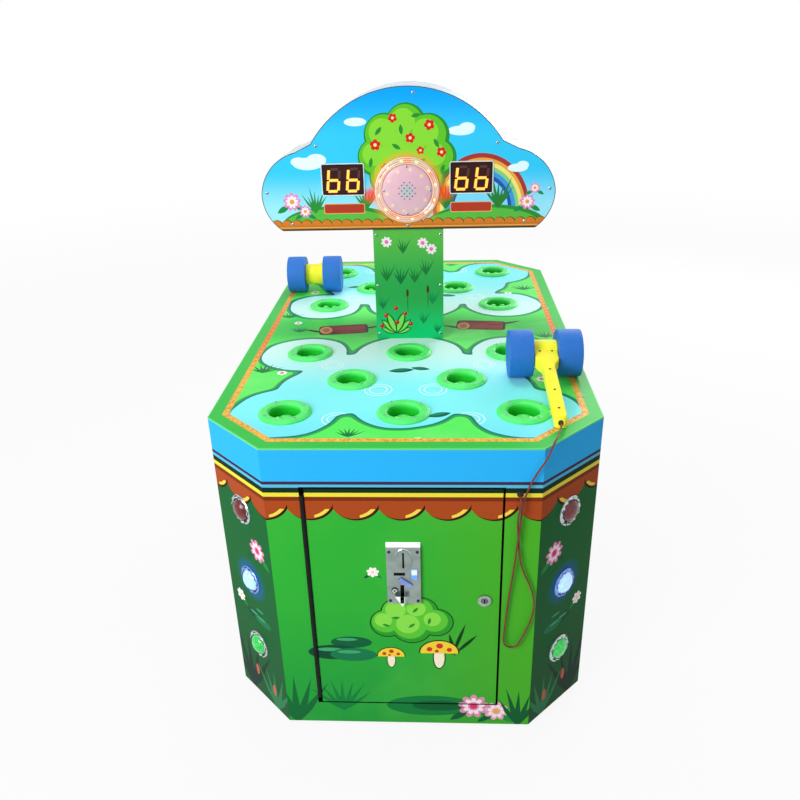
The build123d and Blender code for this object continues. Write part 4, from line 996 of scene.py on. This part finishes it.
# The edge line is a dark strip laid along each face's edge: painted shade of the gap.
trim = bmesh.new()
trim.from_mesh(nodes["marquee_faces"].data)
inner = [face for face in trim.faces if abs(face.calc_center_median().y) < sign_front - line_lift]
bmesh.ops.delete(trim, geom=inner, context="FACES")
bmesh.ops.holes_fill(trim, edges=[edge for edge in trim.edges if edge.is_boundary], sides=60)
border = bmesh.ops.inset_region(trim, faces=trim.faces[:], thickness=line_width, use_boundary=True,
                                use_even_offset=True)["faces"]
bmesh.ops.delete(trim, geom=[face for face in trim.faces if face not in border], context="FACES")
for vert in trim.verts:
    vert.co.y += math.copysign(line_lift, vert.co.y)
new_piece("sign_edge_line", trim, "cabinet",
          [plain("gap_shade_line", "2C2A2C", "3A3638", 0.4, 0.6, 60, 0.00002)])
sign_screws = []
for across, up in (
    (0.05, 0.955), (0.603, 0.61), (-0.603, 0.61), (0.96, 0.285), (-0.96, 0.285), (0.80, 0.05),
    (-0.80, 0.05), (0.0, 0.028),
):
    for way in (-1, 1):
        sign_screws.append(facing((-way * across * sign_half_width, way * sign_front,
                                   sign_bottom + up * sign_height), (0, way, 0), across * 9))
for x in (-0.0675, 0.0675):
    for z in (0.634, 0.7435, 0.853):
        sign_screws += [facing((x, way * post_half_depth, z), (0, way, 0), z * 20) for way in (-1, 1)]
new_piece("sign_screw_heads", stamp(screw_pattern(0.003, 0.0016), sign_screws), "cabinet",
          [screw_steel, screw_shade], ["marquee_screws"])

# Four score displays show two digits each. A black window in a pale frame has a dark red bar for
# each segment, and the lit ones shine orange.
display_z = 0.968
display_half = (0.043, 0.031)
display_corner = 0.0045
digit_half = (0.0110, 0.0218)
segment_width = 0.0056
halo_width = 0.0078
digit_slant = 0.11
display_black = plain("display_window", "0C0606", "180A0A", 0.25, 0.4, 40, 0.00002, specular=0.2)
display_frame = plain("display_frame", "E9EDEE", "CFD6D8", 0.3, 0.45, 60, 0.00003)
dark_segment = plain("dark_segment", "4A0E08", "320805", 0.3, 0.5, 90, 0.00003)
lit_segment = plain("lit_segment", "FFC850", "FFB040", 0.3, 0.5, 90, 0.00003, lit=(0.6, "FFC04C"))
# segment_halo is painted light: the glow round each lit segment.
segment_halo = plain("segment_halo", "C8380C", "A82A08", 0.3, 0.5, 90, 0.00003, specular=0.1)
display_red = plain("display_red", "2E0806", "240504", 0.3, 0.5, 60, 0.00002, specular=0.2)
dress(display_black, "score_displays")


def segment(shape, across, up, half_bar, upright, width, height, finish):
    """One bar with pointed ends, standing a little off the window."""
    turn = Matrix.Rotation(math.pi / 2 if upright else 0.0, 4, "Z")
    bar = bmesh.ops.create_circle(shape, cap_ends=True, segments=6, radius=1.0)["verts"]
    half = width / 2 - 0.0003
    for vert in bar:
        vert.co.x = math.copysign(half_bar - (half if abs(vert.co.y) > 0.1 else 0.0), vert.co.x)
        vert.co.y = math.copysign(half, vert.co.y) if abs(vert.co.y) > 0.1 else 0.0
    bmesh.ops.transform(shape, matrix=Matrix.Translation((across, up, height)) @ turn, verts=bar)
    for face in {face for vert in bar for face in vert.link_faces}:
        face.material_index = finish


outer = (display_half[0] + 0.001, display_half[1] + 0.001)
window = block((-outer[0], -outer[1], -0.0012), (outer[0], outer[1], 0.0010))
upright = [edge for edge in window.edges if abs(edge.verts[0].co.z - edge.verts[1].co.z) > 0.001]
ease(window, upright, display_corner, 4)
window.normal_update()
front_face = max(window.faces, key=lambda face: face.calc_area() if face.normal.z > 0.9 else 0.0)
for width, depth, finish in ((0.0017, 0.0, 0), (0.0002, -0.0009, 1), (0.0028, 0.0, 5)):
    bmesh.ops.inset_region(window, faces=[front_face], thickness=width, depth=depth)
    front_face.material_index = finish
for middle in (-0.0190, 0.0208):
    drawn = bmesh.new()
    for across, up, upright, lit in (
        (0, 1, False, False), (0, 0, False, True), (0, -1, False, True), (-1, 0.5, True, True),
        (-1, -0.5, True, True), (1, 0.5, True, False), (1, -0.5, True, True),
    ):
        half_bar = digit_half[1] / 2 if upright else digit_half[0]
        place = (drawn, across * digit_half[0], up * digit_half[1])
        if lit:
            # A painted glow under each lit bar.
            segment(*place, half_bar + 0.0016, upright, halo_width, 0.0002, 4)
            segment(*place, half_bar + 0.0008, upright, segment_width, 0.0004, 3)
        else:
            segment(*place, half_bar - 0.0008, upright, segment_width, 0.0002, 2)
    for vert in drawn.verts:
        vert.co.x += middle + vert.co.y * digit_slant
        vert.co.y -= 0.001
    window.from_mesh(pattern(drawn, "digit_pattern"))
window_places = [facing((side * display_x, way * (sign_front + 0.0012), display_z), (0, way, 0))
                 for side in (-1, 1) for way in (-1, 1)]
new_piece("display_windows", stamp(pattern(window, "window_pattern"), window_places), "cabinet",
          [display_frame, display_black, dark_segment, lit_segment, segment_halo, display_red],
          (), 40)

# Each loudspeaker has a clear ring with twelve small lights in it, and a domed pink cover held by
# four screws. The cover's grey middle is pierced for the sound; its holes are dark discs, painted shade.
ring_inner = 0.0515
ring_outer = 0.066
light_reach = 0.0581
cover_radius = 0.051
cover_screw_reach = 0.0470
hole_pitch = 0.0054
cover = Print("pink_cover", "E6B6C6")
cover.draw_on(cover.x, cover.z)
cover.paint("DCA4B8", cover.ramp(cover.noise(30.0, 3.0), 0.4, 0.75, 0.5))
cover.paint("B9BEC8", cover.ramp(cover.reach(0.0, speaker_z), 0.017, 0.010, 0.9))
for step in range(10):
    angle = math.radians(36 * step + 8)
    spot = cover.reach(0.0415 * math.cos(angle), speaker_z + 0.0415 * math.sin(angle))
    cover.paint("FFDCA6", cover.ramp(spot, 0.0056, 0.0012, 0.8))
cover.sheen(0.3, 0.42, 40.0)
clear_ring = Print("clear_light_ring", "EDB69C")
clear_ring.draw_on(clear_ring.x, clear_ring.z)
clear_ring.paint("B4C896", clear_ring.ramp(clear_ring.z, speaker_z + 0.040, speaker_z + 0.056, 0.6))
clear_ring.paint("FF8A3C", clear_ring.ramp(clear_ring.noise(34.0, 1.0), 0.50, 0.58, 0.9))
clear_ring.paint("FBF4EC", clear_ring.ramp(clear_ring.noise(21.0, 1.0), 0.58, 0.68, 0.8))
for radius in (0.0532, 0.0571, 0.0612, 0.0648):
    clear_ring.paint("FFFAF2", clear_ring.hoop(0.0, speaker_z, radius, 0.0011))
clear_ring.sheen(0.08, 0.18, 40.0)
clear_ring.put("Transmission Weight", 0.15)
clear_ring.glow(0.12, "F0582A")
ring_light = plain("ring_lights", "FFE2B0", "FFD08A", 0.2, 0.3, 90, 0.00003, lit=(0.7, "FFD894"))
# pierced_holes is the dark of the holes: painted shade.
pierced = plain("pierced_holes", "2A2528", "3A3438", 0.6, 0.8, 90, 0.00003)
ring_shape = lathe([(ring_inner, 0.0), (ring_inner, 0.0042), (0.0535, 0.0050), (0.0560, 0.0050),
                    (0.0572, 0.0040), (0.0590, 0.0040), (0.0602, 0.0048), (0.0630, 0.0046),
                    (0.0655, 0.0030), (ring_outer, 0.0008), (ring_outer, 0.0), (ring_inner, 0.0)], 64)
speaker = bmesh.new()
speaker.from_mesh(pattern(ring_shape, "ring_pattern"))
light = bmesh.new()
bmesh.ops.create_circle(light, cap_ends=True, segments=10, radius=0.0034)
bump = bmesh.ops.extrude_face_region(light, geom=light.faces[:])
risen = [part for part in bump["geom"] if isinstance(part, bmesh.types.BMVert)]
bmesh.ops.translate(light, verts=risen, vec=(0, 0, 0.0011))
bmesh.ops.scale(light, verts=risen, vec=(0.6, 0.6, 1))
light_places = [Matrix.Translation((light_reach * math.cos(math.radians(turn)),
                                    light_reach * math.sin(math.radians(turn)), 0.0040))
                for turn in range(10, 370, 30)]
stamp(pattern(light, "light_pattern", 1), light_places, speaker)
dome = lathe([(0.0, 0.0100), (0.010, 0.0098), (0.020, 0.0092), (0.030, 0.0082), (0.040, 0.0068),
              (0.047, 0.0056), (0.0500, 0.0046), (cover_radius, 0.0034), (cover_radius, 0.0)], 64)
speaker.from_mesh(pattern(dome, "dome_pattern", 2))
stamp(screw_pattern(0.0027, 0.0010, (3, 4)), [
    facing((cover_screw_reach * math.cos(angle), cover_screw_reach * math.sin(angle), 0.0054),
           (0, 0, 1), angle) for angle in (0.0, math.pi / 2, math.pi, math.pi * 1.5)], speaker)
# The holes are dark discs on the dome: painted shade in place of openings.
hole = bmesh.new()
bmesh.ops.create_circle(hole, cap_ends=True, segments=8, radius=0.0014)
stamp(pattern(hole, "hole_pattern", 5), [
    Matrix.Translation((column * hole_pitch, row * hole_pitch,
                        0.01005 - (math.hypot(row, column) * hole_pitch) ** 2 * 2.1))
    for row in range(-3, 4) for column in range(-3, 4)
    if (row + column) % 2 == 0 and abs(row) + abs(column) <= 4], speaker)
speaker_places = [facing((0, way * sign_front, speaker_z), (0, way, 0)) for way in (-1, 1)]
new_piece("speaker_fronts", stamp(pattern(speaker, "speaker_pattern"), speaker_places), "cabinet",
          [clear_ring, ring_light, cover, screw_steel, screw_shade, pierced],
          ["speaker_covers"], 40)

# The hammers are yellow two-part mouldings: a round head with a soft blue cylinder pushed on each
# side of it, and a grip. The halves are screwed together from above. The cylinders are skinned foam.
pad_radius = 0.046
pad_length = 0.0455
pad_inner = 0.023
head_radius = 0.026
head_half = 0.020
head_half_width = 0.022
head_back = 0.016
neck = (0.050, 0.005)
shoulder = 0.066
grip_length = 0.233
grip_half_width = 0.01125
grip_end_half = 0.0085
end_slope = 0.010
hammer_rest = table_top + pad_radius + 0.0003
hammer_tilt = math.atan2(pad_radius - grip_end_half, grip_length)
yellow_plastic = plain("yellow_plastic", "FFFA3A", "F8EC20", 0.3, 0.42, 70, 0.00008, specular=0.2)
blue_foam = plain("blue_foam", "1672D2", "125EBA", 0.5, 0.7, 500, 0.0004)
across_axis = Matrix.Rotation(math.pi / 2, 4, "Y")


def bar_top(along):
    """The bar's upper face falls evenly from the head to the grip's end."""
    return grip_end_half + (head_half - grip_end_half) * (along + grip_length) / (head_back + grip_length)


def bar_under(along):
    """Its underside rises behind the head and then falls a little."""
    if along > -neck[0]:
        share = min((neck[0] + along) / (neck[0] - head_back), 1.0)
        return -neck[1] - (head_half - neck[1]) * share
    return -neck[1] - (grip_end_half - neck[1]) * (-along - neck[0]) / (grip_length - neck[0])


def hammer_bar():
    """The head block and grip, eased all round, with a sloped end and the halves' groove."""
    bar = bmesh.new()
    half = ((head_half_width, head_back), (head_half_width, -neck[0]), (grip_half_width, -shoulder),
            (grip_half_width, -grip_length))
    outline = [(-head_half_width, head_back), *half, *[(-x, y) for x, y in reversed(half[1:])]]
    base = bar.faces.new([bar.verts.new((x, y, -1)) for x, y in outline])
    up = bmesh.ops.extrude_face_region(bar, geom=[base])
    bmesh.ops.translate(bar, verts=[part for part in up["geom"] if isinstance(part, bmesh.types.BMVert)],
                        vec=(0, 0, 2))
    for cut in (-head_back, -neck[0]):
        bmesh.ops.bisect_plane(bar, geom=bar.verts[:] + bar.edges[:] + bar.faces[:], dist=1e-5,
                               plane_co=(0, cut, 0), plane_no=(0, 1, 0))
    for vert in bar.verts:
        if vert.co.z > 0:
            if vert.co.y < -grip_length + 0.001:
                vert.co.y += end_slope
            vert.co.z = bar_top(vert.co.y)
        else:
            vert.co.z = bar_under(vert.co.y)
    bmesh.ops.recalc_face_normals(bar, faces=bar.faces[:])
    ease(bar, [edge for edge in bar.edges if abs(edge.verts[0].co.z - edge.verts[1].co.z) > 0.012
               and edge.calc_face_angle() > 0.2], 0.006, 4)
    ease(bar, [edge for edge in bar.edges if edge.calc_face_angle() > 0.9], 0.0022, 3)
    for height in (-0.0004, 0.0004):
        bmesh.ops.bisect_plane(bar, geom=bar.verts[:] + bar.edges[:] + bar.faces[:],
                               plane_co=(0, 0, height), plane_no=(0, 0, 1))
    seam = [face for face in bar.faces if abs(face.calc_center_median().z) < 0.0003]
    bmesh.ops.inset_region(bar, faces=seam, thickness=0.0, depth=-0.0006, use_even_offset=True)
    return bar


def hammer_mesh():
    """The whole handle in its own directions: head at the origin, grip towards -Y."""
    half = pad_inner
    hub = lathe([(0.0, -half), (head_radius - 0.001, -half), (head_radius, -half + 0.001),
                 (head_radius, half - 0.001), (head_radius - 0.001, half), (0.0, half)], 64)
    shape = stamp(pattern(hub, "hub_pattern"), [across_axis])
    shape.from_mesh(pattern(hammer_bar(), "bar_pattern"))
    # The grip's screws are given the dark screw_shade whole, for the shade of their recesses: painted shade.
    stamp(screw_pattern(0.0022, 0.0005, (2, 2)), [
        facing((x, y, bar_top(y)), (0, -0.046, 1), x * 90 + y * 40)
        for x, y in ((-0.0115, -0.0225), (0.0115, -0.0225), (0, -0.082), (0, -0.145), (0, -0.198))],
        shape)
    collar = lathe([(0.0, 0.0004), (0.0046, 0.0004), (0.0050, 0.0013), (0.0060, 0.0015),
                    (0.0070, 0.0009), (0.0076, -0.001)], 24)
    # The cord's hole takes the dark screw_shade: painted shade.
    for face in collar.faces:
        if face.calc_center_median().xy.length < 0.0045:
            face.material_index = 2
    end = facing((0, end_slope / 2 - grip_length, 0), (0, -2 * grip_end_half, end_slope))
    stamp(pattern(collar, "collar_pattern"), [end], shape)
    return pattern(shape, "hammer_pattern")


def pad_mesh():
    """One foam cylinder, a little crowned, its rims rolled over."""
    half = pad_length / 2
    profile = [(0.0, -half), (0.030, -half)]
    for step in range(7):
        angle = math.radians(15 * step)
        profile.append((pad_radius - 0.0018 + 0.0015 * math.sin(angle),
                        -half + 0.0016 - 0.0016 * math.cos(angle)))
    profile += [(pad_radius - 0.0001, -half / 2), (pad_radius, 0.0)]
    profile += [(radius, -height) for radius, height in reversed(profile[:-1])]
    return pattern(lathe(profile, 96), "pad_pattern")


for name, place, turn in (("front", (0.2655, -0.279), 0.9), ("rear", (-0.260, 0.286), 181.5)):
    stand = (Matrix.Translation((*place, hammer_rest)) @ Matrix.Rotation(math.radians(turn), 4, "Z")
             @ Matrix.Rotation(hammer_tilt, 4, "X"))
    hammer = f"{name}_hammer"
    new_piece(f"{hammer}_grip", stamp(hammer_mesh(), [stand]), hammer,
              [yellow_plastic, screw_steel, screw_shade], [f"{hammer}_handle"], 30)
    pad_places = [stand @ Matrix.Translation((side * (pad_inner + pad_length / 2), 0, 0)) @ across_axis
                  for side in (-1, 1)]
    pads = new_piece(f"{hammer}_foam", stamp(pad_mesh(), pad_places), hammer,
                     [blue_foam], [f"{hammer}_pads"], 60)

# The coin selector's face is a plated casting with four screws; its top edge is painted white as a
# highlight. A lever with a bent tip works the return, and a small key lock sits beside the return
# slot. The door's own lock is dull steel; its keyway and the ring round its plug are painted dark as shade.
coin_height = 0.372
lock_middle = (0.1435, 0.312)
plate_face = 0.580
plated = plain("plated_casting", "9AA8A4", "7C8A86", 0.3, 0.42, 45, 0.00006, metal=0.85)
# Painted shade: the recessed window and slots near black.
dark_slot = plated.ramp(plated.y, -plate_face + 0.0016, -plate_face + 0.0028)
in_plate = plated.ramp(plated.size(plated.x), 0.0278, 0.0272)
in_plate = plated.times(in_plate, plated.ramp(plated.z, coin_height + 0.0552, coin_height + 0.0548))
window_deep = plated.ramp(plated.y, -plate_face + 0.0005, -plate_face + 0.0011)
plated.paint("0E1211", window_deep, in_plate)
plated.paint("0C0D0E", dark_slot, in_plate)
# Painted highlight: a white line along the top edge.
plated.paint("FFFFFF", plated.ramp(plated.z, coin_height + 0.0568, coin_height + 0.0574))
# Painted highlight: a white rim on the lip's lit sides.
lit_side = plated.calc("MAXIMUM", plated.ramp(plated.x, 0.002, 0.001),
                       plated.ramp(plated.z, 0.3155, 0.3140))
lip_rim = plated.ramp(plated.y, -plate_face - 0.0080, -plate_face - 0.0086)
plated.paint("F8FFFC", lip_rim, lit_side)
dress(plated, "coin_plate")
chrome = plain("lock_chrome", "D4D8DA", "A8AEB2", 0.1, 0.22, 60, 0.00004, metal=0.95)
dress(plain("lock_flange_steel", "A9B4AF", "748079", 0.16, 0.3, 160, 0.00005, metal=0.85), "lock_barrel")
plug = plain("lock_plug_steel", "6E7B78", "49544F", 0.2, 0.35, 160, 0.00005, metal=0.8)
from_plug_x = plug.less(plug.x, lock_middle[0])
from_plug_z = plug.less(plug.z, lock_middle[1])
# Painted shade: near black round the plug's rim and in its keyway.
plug.paint("0D1110", plug.ramp(plug.far(from_plug_x, from_plug_z), 0.0050, 0.0054))
plug.paint("060808", plug.ramp(plug.size(from_plug_x), 0.0013, 0.0011),
           plug.ramp(plug.size(from_plug_z), 0.0038, 0.0036))
dress(plug, "lock_plug")
button = plain("lit_blue_button", "4E86FF", "9CC4FF", 0.1, 0.2, 160, 0.00003, lit=(0.3, "6AA2FF"))
# Painted highlight: the button painted paler, nearly white, over its top.
button.paint("E6F8FF", button.ramp(button.z, coin_height - 0.001, coin_height + 0.003))
dress(button, "reject_button")


def on_plate(across, height, turn=0.0):
    """A place on the plate's face."""
    return facing((across, -plate_face, height), (0, -1, 0), turn)


fittings = stamp(screw_pattern(0.0030, 0.0008, (1, 1)), [
    on_plate(x, coin_height + z, x * 50) for x in (-0.0248, 0.0248) for z in (-0.0590, 0.0475)])
oval = lathe([(0.0140, 0.0), (0.0148, 0.0010), (0.0156, 0.0)], 40)
bmesh.ops.scale(oval, verts=oval.verts[:], vec=(1.03, 1.5, 1))
stamp(pattern(oval, "oval_pattern", 2), [on_plate(0, coin_height + 0.031)], fittings)
key_lock = lathe([(0.0, 0.0022), (0.0008, 0.0012), (0.0016, 0.0022), (0.0036, 0.0024), (0.0046, 0.0018),
                  (0.0048, 0.0)], 20)
for face in key_lock.faces:
    face.material_index = 2 if face.calc_center_median().z > 0.0023 else 1
bmesh.ops.scale(key_lock, verts=key_lock.verts[:], vec=(1.25, 1.25, 1))
stamp(pattern(key_lock, "key_pattern"), [on_plate(-0.0165, 0.3365)], fittings)
lever = block((-0.0046, -0.0135, 0.0004), (0.0046, 0.0135, 0.0034))
ease(lever, lever.edges[:], 0.0012, 3)
for vert in lever.verts:
    vert.co.x += 5.0 * vert.co.y ** 2 * (1 if vert.co.y < 0 else -0.4)
stamp(pattern(lever, "lever_pattern", 3), [on_plate(0.0032, 0.3535, math.radians(50))], fittings)
# Painted light: the lever's steel is coloured the blue of the light on it.
lever_steel = plain("blue_lit_lever", "8FA2E0", "6C84CC", 0.2, 0.35, 60, 0.00004, metal=0.5)
new_piece("coin_fittings", fittings, "coin_door",
          [screw_steel, screw_shade, chrome, lever_steel], (), 35)
